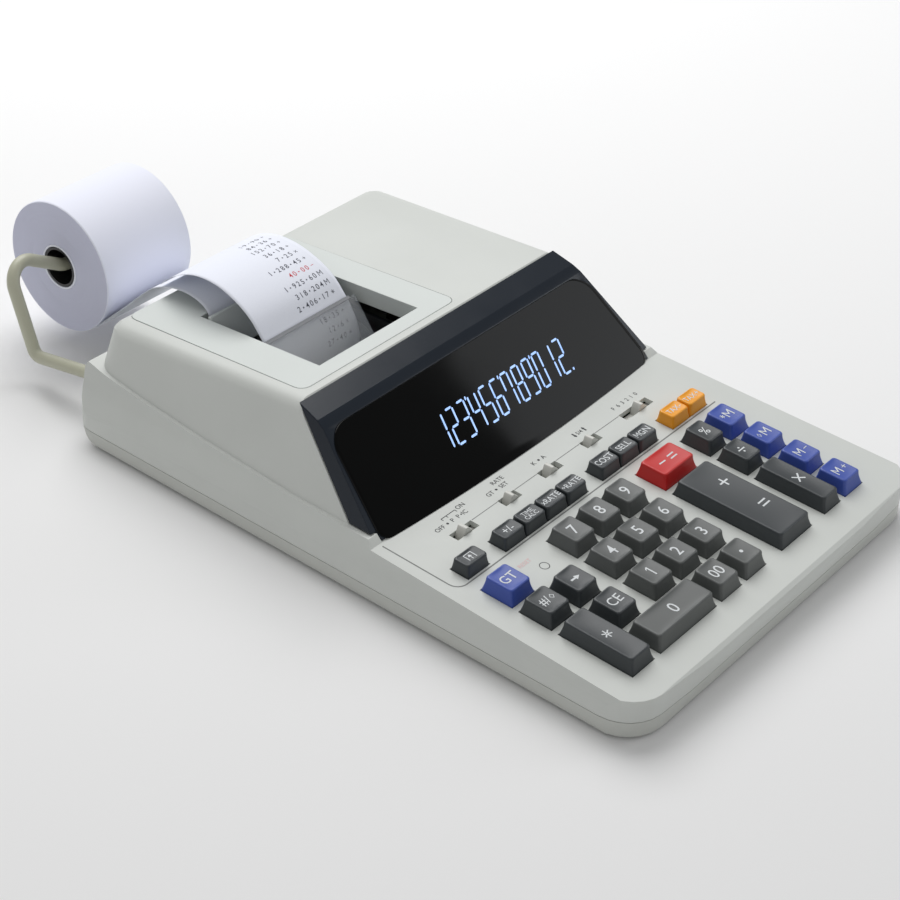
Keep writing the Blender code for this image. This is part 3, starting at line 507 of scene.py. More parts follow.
KEY_SURFACES = {
    "key_grey": key_plastic("key_grey", linear(86, 89, 88)),
    "key_dark": key_plastic("key_dark", linear(52, 57, 60)),
    "key_blue": key_plastic("key_blue", linear(58, 82, 168)),
    "key_red": key_plastic("key_red", linear(196, 26, 24)),
    "key_amber": key_plastic("key_amber", linear(240, 160, 24)),
}
LARGE_KEYS = [
    ("key_grand_total", "A", "A", 1, 1, "key_blue", [("GT", 0, 0, 5.6)]),
    ("key_non_add", "A", "A", 2, 2, "key_dark", [("#/", -1.5, 0, 5.2), ("diamond", 3.3, 0, 3.4)]),
    ("key_multiply_left", "A", "A", 4, 3, "key_dark", [("star", 0, 0, 5.4)]),
    ("key_shift", "B", "B", 2, 2, "key_dark", [("arrow", 0, 0, 6.6)]),
    ("key_clear_entry", "B", "B", 3, 3, "key_dark", [("CE", 0, 0, 5.6)]),
    ("key_0", "B", "C", 4, 4, "key_grey", [("0", 0, 0, 6.8)]),
    ("key_7", "C", "C", 1, 1, "key_grey", [("7", 0, 0, 6.8)]),
    ("key_4", "C", "C", 2, 2, "key_grey", [("4", 0, 0, 6.8)]),
    ("key_1", "C", "C", 3, 3, "key_grey", [("one", 0.4, 0, 6.6)]),
    ("key_8", "D", "D", 1, 1, "key_grey", [("8", 0, 0, 6.8)]),
    ("key_5", "D", "D", 2, 2, "key_grey", [("5", 0, 0, 6.8)]),
    ("key_2", "D", "D", 3, 3, "key_grey", [("2", 0, 0, 6.8)]),
    ("key_00", "D", "D", 4, 4, "key_grey", [("00", 0, 0, 6.4)]),
    ("key_9", "E", "E", 1, 1, "key_grey", [("9", 0, 0, 6.8)]),
    ("key_6", "E", "E", 2, 2, "key_grey", [("6", 0, 0, 6.8)]),
    ("key_3", "E", "E", 3, 3, "key_grey", [("3", 0, 0, 6.8)]),
    ("key_point", "E", "E", 4, 4, "key_grey", [("dot", 0, 0, 2.1)]),
    ("key_minus", "F", "F", 1, 1, "key_red", [("minus", -3.8, 0, 6.6), ("equals", 3.8, 0, 6.6)]),
    ("key_plus", "F", "F", 4, 2, "key_dark", [("plus", 3.6, 12.5, 8.0), ("equals", 3.6, -8.8, 7.6)]),
    ("key_percent", "G", "G", 1, 1, "key_dark", [("%", 0, 0, 5.6)]),
    ("key_divide", "G", "G", 2, 2, "key_dark", [("divide", 0, 0, 6.2)]),
    ("key_multiply", "G", "G", 4, 3, "key_dark", [("times", 0, 0, 7.2)]),
    ("key_memory_total", "H", "H", 1, 1, "key_blue", [("star", -3.0, 0.3, 3.2), ("M", 1.5, 0, 5.4)]),
    ("key_memory_subtotal", "H", "H", 2, 2, "key_blue", [("diamond", -3.4, 0, 3.2), ("M", 1.5, 0, 5.4)]),
    ("key_memory_minus", "H", "H", 3, 3, "key_blue", [("M", -1.6, 0, 5.4), ("minus", 3.6, 0, 3.2)]),
    ("key_memory_plus", "H", "H", 4, 4, "key_blue", [("M", -1.6, 0, 5.4), ("plus", 3.6, 0, 3.4)]),
]
SMALL_ROW = (-60.0, -50.2)
SMALL_KEYS = [
    ("key_feed", -94.1, 14.6, "key_dark", [("feed", 0, 0, 4.6)]),
    ("key_sign", -68.1, 14.6, "key_dark", [("+/-", 0, 0, 4.6)]),
    ("key_time", -52.9, 14.6, "key_dark", [("TIME", 0, 1.35, 2.7), ("CALC", 0, -1.35, 2.7)]),
    ("key_rate_times", -37.7, 14.6, "key_dark", [("xRATE", 0, 0, 3.5)]),
    ("key_rate_over", -22.5, 14.6, "key_dark", [("÷RATE", 0, 0, 3.5)]),
    ("key_cost", 3.1, 14.4, "key_dark", [("COST", 0, 0, 3.9)]),
    ("key_sell", 18.1, 14.4, "key_dark", [("SELL", 0, 0, 3.9)]),
    ("key_margin", 33.1, 14.4, "key_dark", [("M", -3.7, 0, 3.7), ("GN", 1.7, 0, 3.9)]),
    ("key_tax_minus", 59.5, 14.1, "key_amber", [("TAX-", 0, 0, 3.5)]),
    ("key_tax_plus", 74.2, 14.1, "key_amber", [("TAX+", 0, 0, 3.5)]),
]
key_tops = {}
for name, first, last, front_row, back_row, slot_name, legend in LARGE_KEYS:
    across = (COLUMNS[first][0], COLUMNS[last][1])
    along = (ROWS[front_row][0], ROWS[back_row][1])
    top = key_cap(name, across, along, KEY_HEIGHT, KEY_INSETS, KEY_SURFACES[slot_name])
    key_tops[name] = (top, KEY_HEIGHT, legend)
for name, left, width, slot_name, legend in SMALL_KEYS:
    across = (left, left + width)
    top = key_cap(name, across, SMALL_ROW, SMALL_HEIGHT, SMALL_INSETS, KEY_SURFACES[slot_name])
    key_tops[name] = (top, SMALL_HEIGHT, legend)
print("keycaps", len(key_tops))

# %% [markdown]
# ## Legends and printing
# Letters come from the built-in font as flat meshes; signs that the font draws poorly are polygons. Each
# legend is a flat shape, and a small function lifts its points onto the surface it is printed on.

# %% Flat glyphs
glyph_store = {}


def box_outline(width, height, x=0.0, y=0.0):
    return np.array([(x - width / 2, y - height / 2), (x + width / 2, y - height / 2),
                     (x + width / 2, y + height / 2),
                     (x - width / 2, y + height / 2)])


def turned(outline, degrees):
    a = math.radians(degrees)
    return outline @ np.array([[math.cos(a), math.sin(a)], [-math.sin(a), math.cos(a)]])


def disc(radius, x=0.0, y=0.0, count=16):
    a = np.arange(count) * 2 * math.pi / count
    return np.column_stack([x + radius * np.cos(a), y + radius * np.sin(a)])


def ring_quads(radius, width, count=28):
    """A flat ring as separate quads."""
    a = np.arange(count + 1) * 2 * math.pi / count
    inner = np.column_stack([np.cos(a), np.sin(a)]) * (radius - width)
    outer = np.column_stack([np.cos(a), np.sin(a)]) * radius
    return [np.array([inner[i], outer[i], outer[i + 1], inner[i + 1]]) for i in range(count)]


def diamond_frame(size, width):
    corner = size / 2
    outer = np.array([(0, -corner), (corner * 0.8, 0), (0, corner), (-corner * 0.8, 0)])
    inner = outer * (1.0 - 2.4 * width / size)
    return [np.array([outer[i], outer[(i + 1) % 4], inner[(i + 1) % 4], inner[i]]) for i in range(4)]


def sign(kind, size):
    """Outlines of a drawn sign, centred on zero."""
    w = size * 0.13
    if kind == "minus":
        return [box_outline(size * 0.8, w)]
    if kind == "plus":
        return [box_outline(size * 0.8, w), box_outline(w, (size * 0.8 - w) / 2, 0, (size * 0.8 + w) / 4),
                box_outline(w, (size * 0.8 - w) / 2, 0, -(size * 0.8 + w) / 4)]
    if kind == "equals":
        return [box_outline(size * 0.8, w, 0, size * 0.19), box_outline(size * 0.8, w, 0, -size * 0.19)]
    if kind == "times":
        arm = box_outline((size - w) / 2, w, (size + w) / 4, 0)
        return [turned(box_outline(w, w), 45)] + [turned(arm, d) for d in (45, 135, 225, 315)]
    if kind == "divide":
        return [box_outline(size * 0.85, w), disc(w * 0.75, 0, size * 0.3), disc(w * 0.75, 0, -size * 0.3)]
    if kind == "star":
        arm = box_outline(size / 2 - w / 2, w, size / 4 + w / 4, 0)
        return [turned(arm, d) for d in (90, 30, 150, 210, 270, 330)]
    if kind == "dot":
        return [disc(size / 2)]
    if kind == "diamond":
        return diamond_frame(size, size * 0.13)
    if kind == "one":
        tip = -size * 0.24
        flag = np.array([(-w / 2, size * 0.5), (tip, size * 0.34), (tip, size * 0.22), (-w / 2, size * 0.36)])
        return [box_outline(w, size), flag]
    if kind == "M":
        a, dip, thick = size * 0.4 - w / 2, -size * 0.22, 1.7 * w
        return [box_outline(w, size, -size * 0.4), box_outline(w, size, size * 0.4),
                np.array([(-a, size / 2 - thick), (0, dip), (0, dip + thick), (-a, size / 2)]),
                np.array([(0, dip), (a, size / 2 - thick), (a, size / 2), (0, dip + thick)])]
    if kind == "arrow":
        head = np.array([(size * 0.05, -size * 0.24), (size * 0.5, 0), (size * 0.05, size * 0.24)])
        return [head, box_outline(size * 0.5, size * 0.16, -size * 0.2, 0)]
    frame_side = [box_outline(size * 0.12, size * 0.9, -size * 0.55, 0),
                  box_outline(size * 0.12, size * 0.9, size * 0.55, 0),
                  box_outline(size * 1.2, size * 0.1, 0, size * 0.5)]
    head = np.array([(-size * 0.28, -size * 0.02), (size * 0.28, -size * 0.02), (0, size * 0.36)])
    return [*frame_side, head, box_outline(size * 0.12, size * 0.42, 0, -size * 0.24)]


SIGNS = ("minus", "plus", "equals", "times", "divide", "star", "dot", "diamond", "arrow", "one", "M", "feed")


def glyphs(text, size):
    """(flat points, faces) of a text or sign of that height, centred on zero."""
    if (text, size) in glyph_store:
        return glyph_store[text, size]
    if text in SIGNS:
        points, faces = [], []
        for outline in sign(text, size):
            x, y = outline.T
            area = np.sum(x * np.roll(y, -1) - y * np.roll(x, -1))
            order = range(len(points), len(points) + len(outline))
            faces.append(list(order) if area > 0 else list(order)[::-1])
            points.extend(outline.tolist())
        glyph_store[text, size] = (np.array(points), faces)
        return glyph_store[text, size]
    curve = bpy.data.curves.new("glyph", "FONT")
    curve.body = text
    curve.size = size * 1.38
    curve.resolution_u = 3
    curve.offset = size * 0.006 * ("M" not in text)
    holder = bpy.data.objects.new("glyph", curve)
    bpy.context.scene.collection.objects.link(holder)
    graph = bpy.context.evaluated_depsgraph_get()
    mesh = bpy.data.meshes.new_from_object(holder.evaluated_get(graph))
    points = np.zeros(len(mesh.vertices) * 3)
    mesh.vertices.foreach_get("co", points)
    points = points.reshape(-1, 3)[:, :2]
    faces = [list(p.vertices) for p in mesh.polygons]
    bpy.data.objects.remove(holder)
    bpy.data.meshes.remove(mesh)
    points = points - (points.min(0) + points.max(0)) / 2
    glyph_store[text, size] = (points, faces)
    return glyph_store[text, size]


def gather(items):
    """Several placed glyphs as one flat mesh: (text, x, y, size) each."""
    points, faces = [], []
    for text, x, y, size in items:
        flat, polygons = glyphs(text, size)
        faces += [[i + len(points) for i in polygon] for polygon in polygons]
        points.extend((flat + [x, y]).tolist())
    return np.array(points), faces


def ink(name, colour, roughness=0.55):
    made = Shader(name, roughness)
    fade = made.noise(700.0, 2.0)
    made.base(made.mix(fade, tuple(c * 0.88 for c in colour), colour))
    made.roughness(roughness + made.noise(300.0) * 0.1)
    return made.material


# %% Legends on the keys
WHITE_INK = ink("white_ink", linear(222, 226, 228))
BLACK_INK = ink("black_ink", linear(34, 36, 40))
PALE_INK = ink("pale_ink", linear(228, 190, 190))
LEGEND_SCALE, LEGEND_LIFT = 0.9, 0.06
for name, (top, height, legend) in key_tops.items():
    middle = ((top[0] + top[1]) / 2, (top[2] + top[3]) / 2)
    items = [(text, middle[0] + dx, middle[1] + dy, size * LEGEND_SCALE) for text, dx, dy, size in legend]
    flat, faces = gather(items)
    lift = key_top_z(flat[:, 0], flat[:, 1], top, height) + LEGEND_LIFT
    mesh_piece(name + "_legend", world(np.column_stack([flat, lift])), faces, WHITE_INK, name)

# %% [markdown]
# ## Printing and grooves on the deck
# The switch labels are dark print. The groove round the key field and the fine line through the switches are
# narrow flat strips in painted shade, darker than the case as a shadowed groove is.

# %% Printing on the deck
DECK_LABELS = [
    ("OFF", -75.8, -29.6, 2.5), ("dot", -70.6, -29.6, 1.3), ("P", -67.1, -29.6, 2.5),
    ("P", -63.2, -29.6, 2.5),
    ("dot", -61.2, -29.6, 0.9), ("IC", -58.9, -29.6, 2.5), ("ON", -57.0, -25.4, 2.5),
    ("RATE", -30.6, -25.6, 2.5), ("GT", -40.6, -29.6, 2.5), ("dot", -36.2, -29.6, 1.3),
    ("SET", -31.0, -29.6, 2.5),
    ("K", -8.6, -29.6, 2.5), ("dot", -4.9, -29.6, 1.3), ("A", -1.6, -29.6, 2.5),
    ("F", 53.0, -30.2, 2.4), ("6", 56.7, -30.2, 2.4), ("3", 60.3, -30.2, 2.4), ("2", 63.9, -30.2, 2.4),
    ("1", 67.4, -30.2, 2.4), ("0", 70.9, -30.2, 2.4), ("5/4", 26.0, -29.9, 2.3),
]


def deck_print(name, flat, faces, surface, lift=0.04):
    return mesh_piece(name, world(np.column_stack([flat, deck_z(flat[:, 1]) + lift])), faces, surface, "case")


flat, faces = gather(DECK_LABELS)
deck_print("deck_labels", flat, faces, BLACK_INK)
marks = [box_outline(9.4, 0.4, -65.6, -25.6)]
marks += [box_outline(0.4, 1.5, x, -26.3) for x in (-70.3, -67.0, -60.9)]
for middle, way in ((22.3, -1.0), (29.7, 1.0)):
    marks.append(box_outline(0.9, 1.9, middle, -29.9 - 0.6 * way))
    root, tip = -29.9 + 0.3 * way, -29.9 + 1.7 * way
    wing = np.array([(middle - 0.9, root), (middle + 0.9, root), (middle + 0.1, tip), (middle - 0.1, tip)])
    marks.append(wing if way > 0 else wing[::-1])
flat = np.concatenate(marks)
deck_print("deck_marks", flat, [list(range(i * 4, i * 4 + 4)) for i in range(len(marks))], BLACK_INK)
ring = ring_quads(2.4, 0.35)
flat = np.concatenate(ring) + [-64.1, -77.8]
deck_print("reset_ring", flat, [list(range(i * 4, i * 4 + 4)) for i in range(len(ring))], BLACK_INK)
flat, faces = gather([("RESET", -68.8, -70.6, 2.2)])
deck_print("reset_label", flat, faces, PALE_INK)

# Painted shade: the groove strips are a flat grey, darker than the case, standing for the shadow in a groove.
groove_shade_shader = Shader("groove", 0.6)
groove_shade_tone = groove_shade_shader.noise(200.0)
groove_shade_shader.base(groove_shade_shader.mix(groove_shade_tone, linear(108, 110, 108), linear(128, 130, 128)))
GROOVE_SHADE = groove_shade_shader.material


def strip(path, width):
    """A flat strip along an open path."""
    path = np.asarray(path, float)
    along = np.gradient(path, axis=0)
    along /= np.hypot(along[:, :1], along[:, 1:])
    across = np.column_stack([-along[:, 1], along[:, 0]]) * width / 2
    flat = np.empty((2 * len(path), 2))
    flat[0::2], flat[1::2] = path + across, path - across
    faces = [[2 * i, 2 * i + 1, 2 * i + 3, 2 * i + 2] for i in range(len(path) - 1)]
    return flat, faces


turn = np.linspace(0.0, math.pi / 2, 7)
bend = np.column_stack([-97.0 - 5.5 * np.cos(turn), -56.1 - 5.5 * np.sin(turn)])
groove_path = np.concatenate([np.column_stack([np.full(12, -102.5), np.linspace(-19.5, -55.0, 12)]), bend,
                              np.column_stack([np.linspace(-95.0, 93.0, 40), np.full(40, -61.6)])])
flat, faces = strip(groove_path, 0.7)
deck_print("field_groove", flat, faces, GROOVE_SHADE, 0.03)
for number, (left, right) in enumerate([(-61.2, -43.0), (-30.5, -14.1), (0.3, 18.2), (30.8, 49.7)]):
    flat, faces = strip(np.column_stack([np.linspace(left, right, 6), np.full(6, -35.6)]), 0.4)
    deck_print(f"switch_line_{number}", flat, faces, GROOVE_SHADE, 0.03)

# %% [markdown]
# ## Slide switches
# Each knob keeps its simple form, a ridge with a ramp, with its edges rounded.

# %% Slide switches
KNOB = plastic("knob", linear(206, 206, 200), 0.38)
for name in ("switch_power", "switch_rate", "switch_constant", "switch_rounding", "switch_decimal"):
    skin(name, KNOB, name, 0.25)

# %% [markdown]
# ## Paper
# One strip runs from the roll over the housing's back edge into the opening, round the platen and out again,
# where it curls back. The visible parts are two sheets. Each is a path in the side view, smoothed and swept
# across the paper's width; the print is laid on the same surface.

# %% Paper paths
PAPER_X = (-59.0, -1.5)
SHEET_THICKNESS = 0.12
TAPE_PATH = [(82.0, 36.0), (82.2, 43.0), (84.6, 49.8), (88.2, 55.4), (92.2, 60.4), (99.4, 67.8),
             (108.2, 72.8), (119.2, 76.2), (129.8, 76.8), (138.8, 75.2), (146.2, 72.0),
             (152.6, 67.8), (157.8, 62.9)]
WEB_PATH = [(124.2, 50.0), (125.0, 57.0), (127.6, 61.7), (134.0, 64.6), (141.3, 65.3), (148.6, 64.4),
            (154.6, 62.6), (159.8, 60.4), (164.6, 57.4), (172.0, 50.6), (184.0, 38.6),
            (196.0, 27.2), (205.0, 18.2)]


def smooth_path(corners, count):
    """Evenly spaced points on a smooth curve through the corners, with unit tangents and running length."""
    corners = np.asarray(corners, float)
    padded = np.vstack([2 * corners[0] - corners[1], corners, 2 * corners[-1] - corners[-2]])
    t = np.linspace(0.0, 1.0, 24, endpoint=False)[:, None]
    parts = []
    for i in range(1, len(padded) - 2):
        a, b, c, d = padded[i - 1 : i + 3]
        square, cube = 2 * a - 5 * b + 4 * c - d, 3 * b - a - 3 * c + d
        parts.append(0.5 * (2 * b + (c - a) * t + square * t**2 + cube * t**3))
    dense = np.vstack([*parts, corners[-1:]])
    run = np.concatenate([[0.0], np.cumsum(np.hypot(*np.diff(dense, axis=0).T))])
    even = np.linspace(0.0, run[-1], count)
    points = np.column_stack([np.interp(even, run, dense[:, 0]), np.interp(even, run, dense[:, 1])])
    tangents = np.gradient(points, axis=0)
    tangents /= np.hypot(tangents[:, :1], tangents[:, 1:])
    return points, tangents, even


def paper_point(path, x, s, lift, twist=0.0):
    """Points on a swept sheet: x across, s along, lift out of its front face. Twist raises its left edge."""
    points, tangents, run = path
    y, z = np.interp(s, run, points[:, 0]), np.interp(s, run, points[:, 1])
    ty, tz = np.interp(s, run, tangents[:, 0]), np.interp(s, run, tangents[:, 1])
    share = np.clip(s / run[-1], 0.0, 1.0)
    across = (x - sum(PAPER_X) / 2) / (PAPER_X[1] - PAPER_X[0]) * 2
    z = z - twist * across * np.sin(math.pi * np.clip((share - 0.2) / 0.8, 0.0, 1.0)) ** 2
    return np.column_stack([x, y - tz * lift, z + ty * lift])


def paper_sheet(name, path, body, surface, twist=0.0, rows=120, across=30):
    s = np.repeat(np.linspace(0.0, path[2][-1], rows), across)
    x = np.tile(np.linspace(*PAPER_X, across), rows)
    points = world(paper_point(path, x, s, 0.0, twist))
    made = mesh_piece(name, points, grid_faces(rows, across), surface, body, 180.0)
    solid = made.modifiers.new("sheet", "SOLIDIFY")
    solid.thickness = SHEET_THICKNESS * MM
    solid.offset = 0.0
    return made


paper_shader = Shader("paper", 0.85)
fibre = paper_shader.noise(1500.0, 4.0)
paper_shader.base(paper_shader.mix(fibre, linear(232, 235, 246), linear(240, 243, 252)))
paper_shader.roughness(0.8 + paper_shader.noise(400.0) * 0.15)
paper_shader.bump(fibre, 0.00001, 0.3)
PAPER = paper_shader.material

TAPE = smooth_path(TAPE_PATH, 160)
WEB = smooth_path(WEB_PATH, 160)
TWIST = 1.2
tape = paper_sheet("tape", TAPE, "cover", PAPER, TWIST)
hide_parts("paper_tape")
web = paper_sheet("web", WEB, None, PAPER)
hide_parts("paper_web")
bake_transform(web)
print("tape length", round(float(TAPE[2][-1]), 1), "mm; web length", round(float(WEB[2][-1]), 1), "mm")

# %% [markdown]
# ## Print on the tape
# Figures in even steps, right-aligned, as a drum printer sets them. The numbers are made up; one line is red.

# %% Tape print
TAPE_LINES = ["27.40 *", "12.6 x", "18.35 +", "2,406.17 *", "318.204 M", "1,925.60 M", "40.00 -",
              "1,288.45 +", "7.25 x", "36.18 +", "152.70 +", "84.36 +", "19.90 +"]
RED_LINE = 6
LINE_STARTS = [9.6, 15.3, 20.9] + [30.9 + 5.55 * i for i in range(10)]
CHARACTER_STEP, CHARACTER_SIZE, RIGHT_EDGE = 2.8, 2.9, -7.4
PRINT_LIFT = 0.10
TAPE_MARKS = {"*": "star", "x": "times", "+": "plus", "-": "minus", ".": "dot", ",": "dot"}


def tape_items(numbers):
    items = []
    for number in numbers:
        characters = TAPE_LINES[number].replace(" ", "")
        for place, character in enumerate(reversed(characters)):
            mark = TAPE_MARKS.get(character)
            size = {"dot": 0.8}.get(mark, 2.1 if mark else CHARACTER_SIZE)
            gap = 0.9 if place else 0.0
            x = RIGHT_EDGE - CHARACTER_STEP * place - gap
            items.append((mark or character, x, LINE_STARTS[number] + (0.0 if mark != "dot" else -0.1), size))
    return items


def tape_print(name, numbers, surface):
    flat, faces = gather(tape_items(numbers))
    points = paper_point(TAPE, flat[:, 0], flat[:, 1], PRINT_LIFT, TWIST)
    return mesh_piece(name, world(points), faces, surface, "cover")


TAPE_INK = ink("tape_ink", linear(70, 72, 86), 0.7)
RED_INK = ink("red_ink", linear(214, 60, 70), 0.7)
tape_print("tape_print", [i for i in range(len(TAPE_LINES)) if i != RED_LINE], TAPE_INK)
tape_print("tape_print_red", [RED_LINE], RED_INK)

# %% [markdown]
# ## Paper roll
# A turned form. The end faces are the edges of many windings, so their profile steps in and out by a few
# hundredths of a millimetre, and the paper's own tube shows as a pale ring round the black core. The end
# faces' darker purple-grey and their fine rings are painted shade.

# %% Paper roll
ROLL_Y, ROLL_Z, ROLL_RADIUS = 228.7, 43.7, 34.4


def turned_form(name, profile, surface, body, steps=128, smooth=35.0):
    """A profile of (x, radius) pairs turned round the roll's axis and closed on itself."""
    profile = np.asarray(profile, float)
    a = np.arange(steps) * 2 * math.pi / steps
    x = np.repeat(profile[:, 0], steps)
    radius = np.repeat(profile[:, 1], steps)
    angle = np.tile(a, len(profile))
    points = np.column_stack([x, ROLL_Y + radius * np.cos(angle), ROLL_Z + radius * np.sin(angle)])
    faces = grid_faces(len(profile), steps, True, True)
    made = mesh_piece(name, world(points), faces, surface, body, smooth)
    return outward(made)


windings = np.random.RandomState(7)
radii = np.linspace(11.9, 34.05, 74)
steps_in = np.clip(np.cumsum(windings.normal(0.0, 0.035, len(radii))), -0.14, 0.14)
left_face = np.column_stack([PAPER_X[0] + 0.16 + steps_in, radii])
right_face = np.column_stack([PAPER_X[1] - 0.16 + steps_in[::-1], radii[::-1]])
rim = [(PAPER_X[0] + 0.5, ROLL_RADIUS), (PAPER_X[0] + 2.0, ROLL_RADIUS), (-30.0, ROLL_RADIUS),
       (PAPER_X[1] - 2.0, ROLL_RADIUS), (PAPER_X[1] - 0.5, ROLL_RADIUS)]
roll_shader = Shader("roll_paper", 0.88)
roll_y = roll_shader.axis(1) - (ROLL_Y + DATUM_Y) * MM
roll_z = roll_shader.axis(2) - ROLL_Z * MM
radius_value = (roll_y * roll_y + roll_z * roll_z).power(0.5)
# Painted shade: the end faces are a darker purple-grey than the rim, crossed by fine painted shade rings; the
# rim keeps the paper's colour.
painted_shade_rings = (radius_value * 14000.0).sine() * 0.5 + 0.5
edge = radius_value.above((ROLL_RADIUS - 0.4) * MM)
shaded_end_face_colour = roll_shader.mix(painted_shade_rings, linear(196, 198, 218), linear(214, 216, 234))
roll_shader.base(roll_shader.mix(edge, shaded_end_face_colour, linear(236, 238, 250)))
roll_shader.roughness(0.84 + roll_shader.noise(300.0) * 0.1)
roll_shader.bump(roll_shader.noise(900.0, 4.0), 0.00002, 0.3)
roll_profile = [*left_face, *rim, *right_face]
roll = turned_form("paper_roll_wound", roll_profile, roll_shader.material, "roll")
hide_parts("paper_roll")
tube_profile = [(PAPER_X[0] - 0.1, 10.8), (PAPER_X[0] - 0.1, 11.7), (PAPER_X[0] + 0.3, 11.88),
                (PAPER_X[1] - 0.3, 11.88), (PAPER_X[1] + 0.1, 11.7), (PAPER_X[1] + 0.1, 10.8)]
turned_form("roll_tube", tube_profile, PAPER, "roll", 96)
CORE = plastic("core", linear(24, 24, 26), 0.4, grain=1800.0)
skin("roll_core", CORE, "roll", 0.12)

# %% [markdown]
# ## Roll arm
# A round rod bent three times: out of the back wall, up, over and down into the core. The path's corners are
# replaced by arcs and a circle is carried along it without turning.

# %% Roll arm
ARM_CORNERS = [(-90.0, 148.0, 24.8), (-91.9, 211.6, 14.4), (-90.8, 231.6, 62.2), (-56.1, 228.7, 43.7),
               (-6.0, 228.7, 43.7)]
ARM_BENDS = [5.0, 10.8, 14.0]
ARM_RADIUS = 3.2


def bent_path(corners, bends, steps):
    corners = [Vector(c) for c in corners]
    points = [corners[0]]
    for index, radius in enumerate(bends, 1):
        corner = corners[index]
        back = (corners[index - 1] - corner).normalized()
        ahead = (corners[index + 1] - corner).normalized()
        half = back.angle(ahead) / 2
        centre = corner + (back + ahead).normalized() * (radius / math.sin(half))
        first = corner + back * (radius / math.tan(half)) - centre
        last = corner + ahead * (radius / math.tan(half)) - centre
        sweep = first.angle(last)
        for step in range(steps + 1):
            part = sweep * step / steps
            points.append(centre + (first * math.sin(sweep - part) + last * math.sin(part)) / math.sin(sweep))
    return np.array([*points, corners[-1]])


def rod(name, path, radius, surface, body, sides=28):
    tangents = np.gradient(path, axis=0)
    tangents /= np.linalg.norm(tangents, axis=1)[:, None]
    across = np.cross(tangents[0], (1.0, 0.0, 0.0))
    across /= np.linalg.norm(across)
    angles = np.arange(sides) * 2 * math.pi / sides
    rings = []
    for point, tangent in zip(path, tangents):
        across = across - tangent * (across @ tangent)
        across /= np.linalg.norm(across)
        other = np.cross(tangent, across)
        rings.append(point + radius * (np.outer(np.cos(angles), across) + np.outer(np.sin(angles), other)))
    points = np.vstack([*rings, path[:1], path[-1:]])
    faces = grid_faces(len(path), sides, closed_columns=True).tolist()
    first, last, end = len(points) - 2, len(points) - 1, (len(path) - 1) * sides
    faces += [[(i + 1) % sides, i, first] for i in range(sides)]
    faces += [[end + i, end + (i + 1) % sides, last] for i in range(sides)]
    return outward(mesh_piece(name, world(points), faces, surface, body, 50.0))


ARM = plastic("arm", linear(186, 186, 166), 0.38, grain=1600.0, depth=0.00002)
arm = rod("roll_arm_rod", bent_path(ARM_CORNERS, ARM_BENDS, 16), ARM_RADIUS, ARM, "case")
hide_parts("roll_arm")

# %% [markdown]
# ## What shows in the opening
# A smoked plate holds the tape down and its toothed edge tears it. Behind the tape a pale guide leads the web
# in.

# %% Tear plate and guide
smoke = Shader("smoke", 0.14, Coat_Weight=0.3)
smoke.base(smoke.mix(smoke.noise(120.0), linear(96, 102, 108), linear(120, 126, 132)))
smoke.set(smoke.main, "Alpha", 0.22 + smoke.noise(40.0) * 0.08)
skin("tear_plate", smoke.material, "cover", 0.2)
skin("paper_guide", COVER, "cover", 0.3)


def tear_edge():
    """A saw-toothed strip along the plate's upper edge."""
    count = 116
    x = np.linspace(-59.6, -1.2, count)
    tooth = np.where(np.arange(count) % 2 == 0, 0.0, 0.55)
    low = np.column_stack([x, np.full(count, 88.6), np.full(count, 59.15)])
    high = np.column_stack([x, 89.9 + tooth * 0.7, 59.75 + tooth * 0.7])
    points = np.empty((2 * count, 3))
    points[0::2], points[1::2] = low, high
    faces = [[2 * i, 2 * i + 2, 2 * i + 3, 2 * i + 1] for i in range(count - 1)]
    made = mesh_piece("tear_edge", world(points), faces, BLADE, "cover", None)
    solid = made.modifiers.new("blade", "SOLIDIFY")
    solid.thickness = 0.35 * MM
    return made


blade = Shader("blade", 0.4)
blade.base(blade.mix(blade.noise(500.0), linear(128, 130, 134), linear(150, 152, 156)))
BLADE = blade.material
tear_edge()

# %% [markdown]
# ## Inside
# The parts under the deck keep their simple meshes. They show only through the opening, and in an opened
# view.

# %% Finishes of the inner parts


def finish_node(node, surface):
    mesh = frame["nodes"][node].data
    mesh.materials.clear()
    mesh.materials.append(surface)


def two_tone(name, one, two, roughness, metallic=0.0, scale=120.0, depth=0.00004):
    made = Shader(name, roughness, metallic)
    mottle = made.noise(scale, 4.0)
    made.base(made.mix(mottle, one, two))
    made.roughness(roughness - 0.06 + made.noise(scale * 2.0) * 0.12)
    made.bump(made.noise(scale * 8.0, 2.0), depth, 0.3)
    return made.material


finish_node("display_tube", two_tone("tube", linear(70, 84, 90), linear(90, 104, 110), 0.15))
finish_node("main_board", two_tone("board", linear(20, 88, 44), linear(30, 108, 56), 0.4))
finish_node("keypad_sheet", two_tone("sheet", linear(150, 152, 152), linear(168, 170, 170), 0.7))
finish_node("printer_frame", two_tone("steel", linear(150, 152, 156), linear(176, 178, 182), 0.32, 1.0))
finish_node("transformer", two_tone("iron", linear(90, 84, 76), linear(120, 108, 84), 0.5, 0.4))
finish_node("platen_roller", two_tone("platen", linear(34, 34, 34), linear(46, 46, 46), 0.8))
finish_node("print_drum", two_tone("drum", linear(60, 60, 64), linear(84, 84, 88), 0.45))

# %% [markdown]
# ## Studio
# A pale floor, one wide soft light above and behind to the right, a softbox at the right that shows in the
# pane's right part, a weaker light from the left front, and a pale sky for fill. The camera stands high to
# the left of the keys.

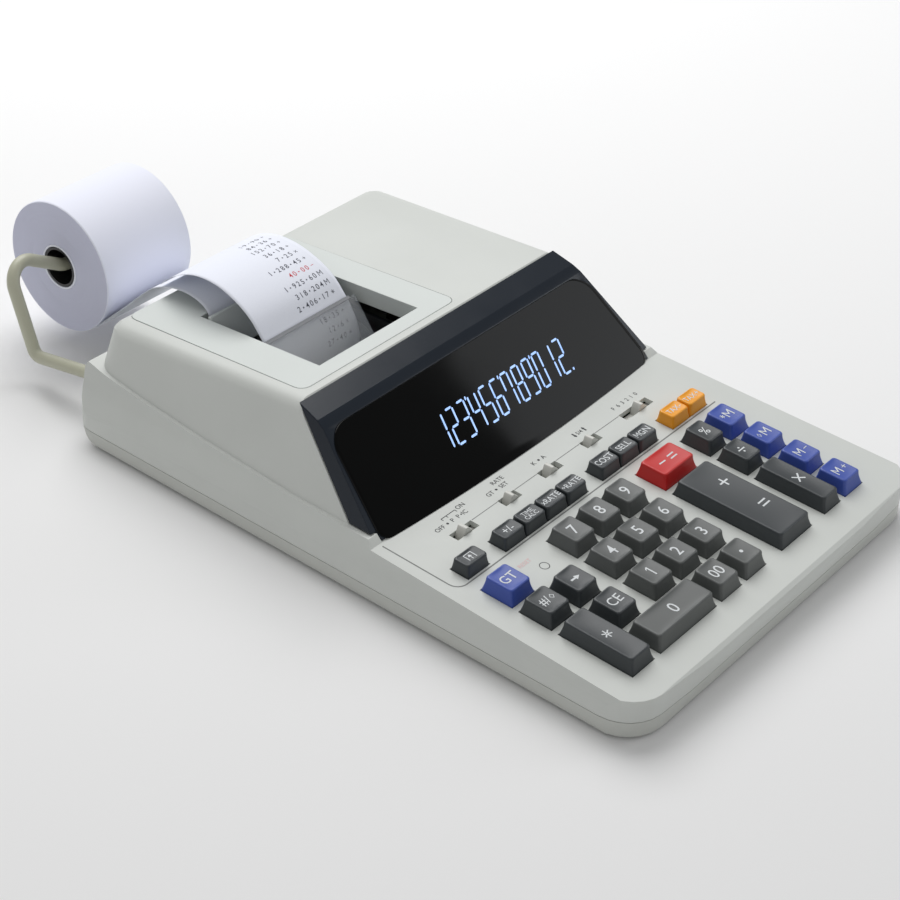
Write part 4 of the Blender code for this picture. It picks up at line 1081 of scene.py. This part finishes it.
# %% Floor, lights and camera
floor_mesh = bpy.data.meshes.new("floor")
floor_mesh.from_pydata([(-6, -6, 0), (6, -6, 0), (6, 6, 0), (-6, 6, 0)], [], [(0, 1, 2, 3)])
floor = bpy.data.objects.new("floor", floor_mesh)
bpy.context.scene.collection.objects.link(floor)
floor_shader = Shader("floor", 0.9)
floor_shader.base((0.86, 0.86, 0.86))
floor_mesh.materials.append(floor_shader.material)


def area_light(name, place, aim, size, power, colour=(1.0, 1.0, 1.0)):
    light = bpy.data.lights.new(name, "AREA")
    light.shape = "RECTANGLE"
    light.size, light.size_y = size
    light.energy = power
    light.color = colour
    made = bpy.data.objects.new(name, light)
    bpy.context.scene.collection.objects.link(made)
    made.location = place
    made.rotation_euler = (Vector(aim) - Vector(place)).to_track_quat("-Z", "Y").to_euler()
    return made


area_light("overhead", (0.55, 0.75, 1.25), (0.0, 0.05, 0.0), (1.3, 1.3), 20.5)
COOL_WHITE, WARM_WHITE = (0.94, 0.97, 1.0), (1.0, 0.99, 0.97)
SOFTBOX_TILT = -27.0
softbox = area_light("right_softbox", (1.225, -0.805, 0.567), (0.0, -0.07, 0.04), (0.5, 0.8), 2.8, COOL_WHITE)
softbox.rotation_euler.rotate_axis("Z", math.radians(SOFTBOX_TILT))
area_light("left_fill", (-1.5, -0.5, 0.8), (0.0, 0.0, 0.0), (1.0, 1.0), 2.0, WARM_WHITE)
sky = bpy.data.worlds.new("sky")
sky.use_nodes = True
sky.node_tree.nodes["Background"].inputs["Color"].default_value = (1.0, 1.0, 1.0, 1.0)
sky.node_tree.nodes["Background"].inputs["Strength"].default_value = 0.35
bpy.context.scene.world = sky
bpy.context.scene.view_settings.view_transform = "Standard"

camera = bpy.data.objects.new("camera", bpy.data.cameras.new("camera"))
bpy.context.scene.collection.objects.link(camera)
camera.data.lens = 87.68
camera.data.sensor_width = 36.0
camera.data.shift_x, camera.data.shift_y = 0.0122, -0.0573
camera.data.clip_start, camera.data.clip_end = 0.01, 50.0
right, up, back = (0.63275, -0.77296, 0.04641), (0.40350, 0.38028, 0.83221), (-0.66092, -0.50786, 0.55251)
turned_axes = Matrix((right, up, back)).transposed().to_4x4()
camera.matrix_world = Matrix.Translation((-0.68232, -0.54080, 0.59684)) @ turned_axes
bpy.context.scene.camera = camera
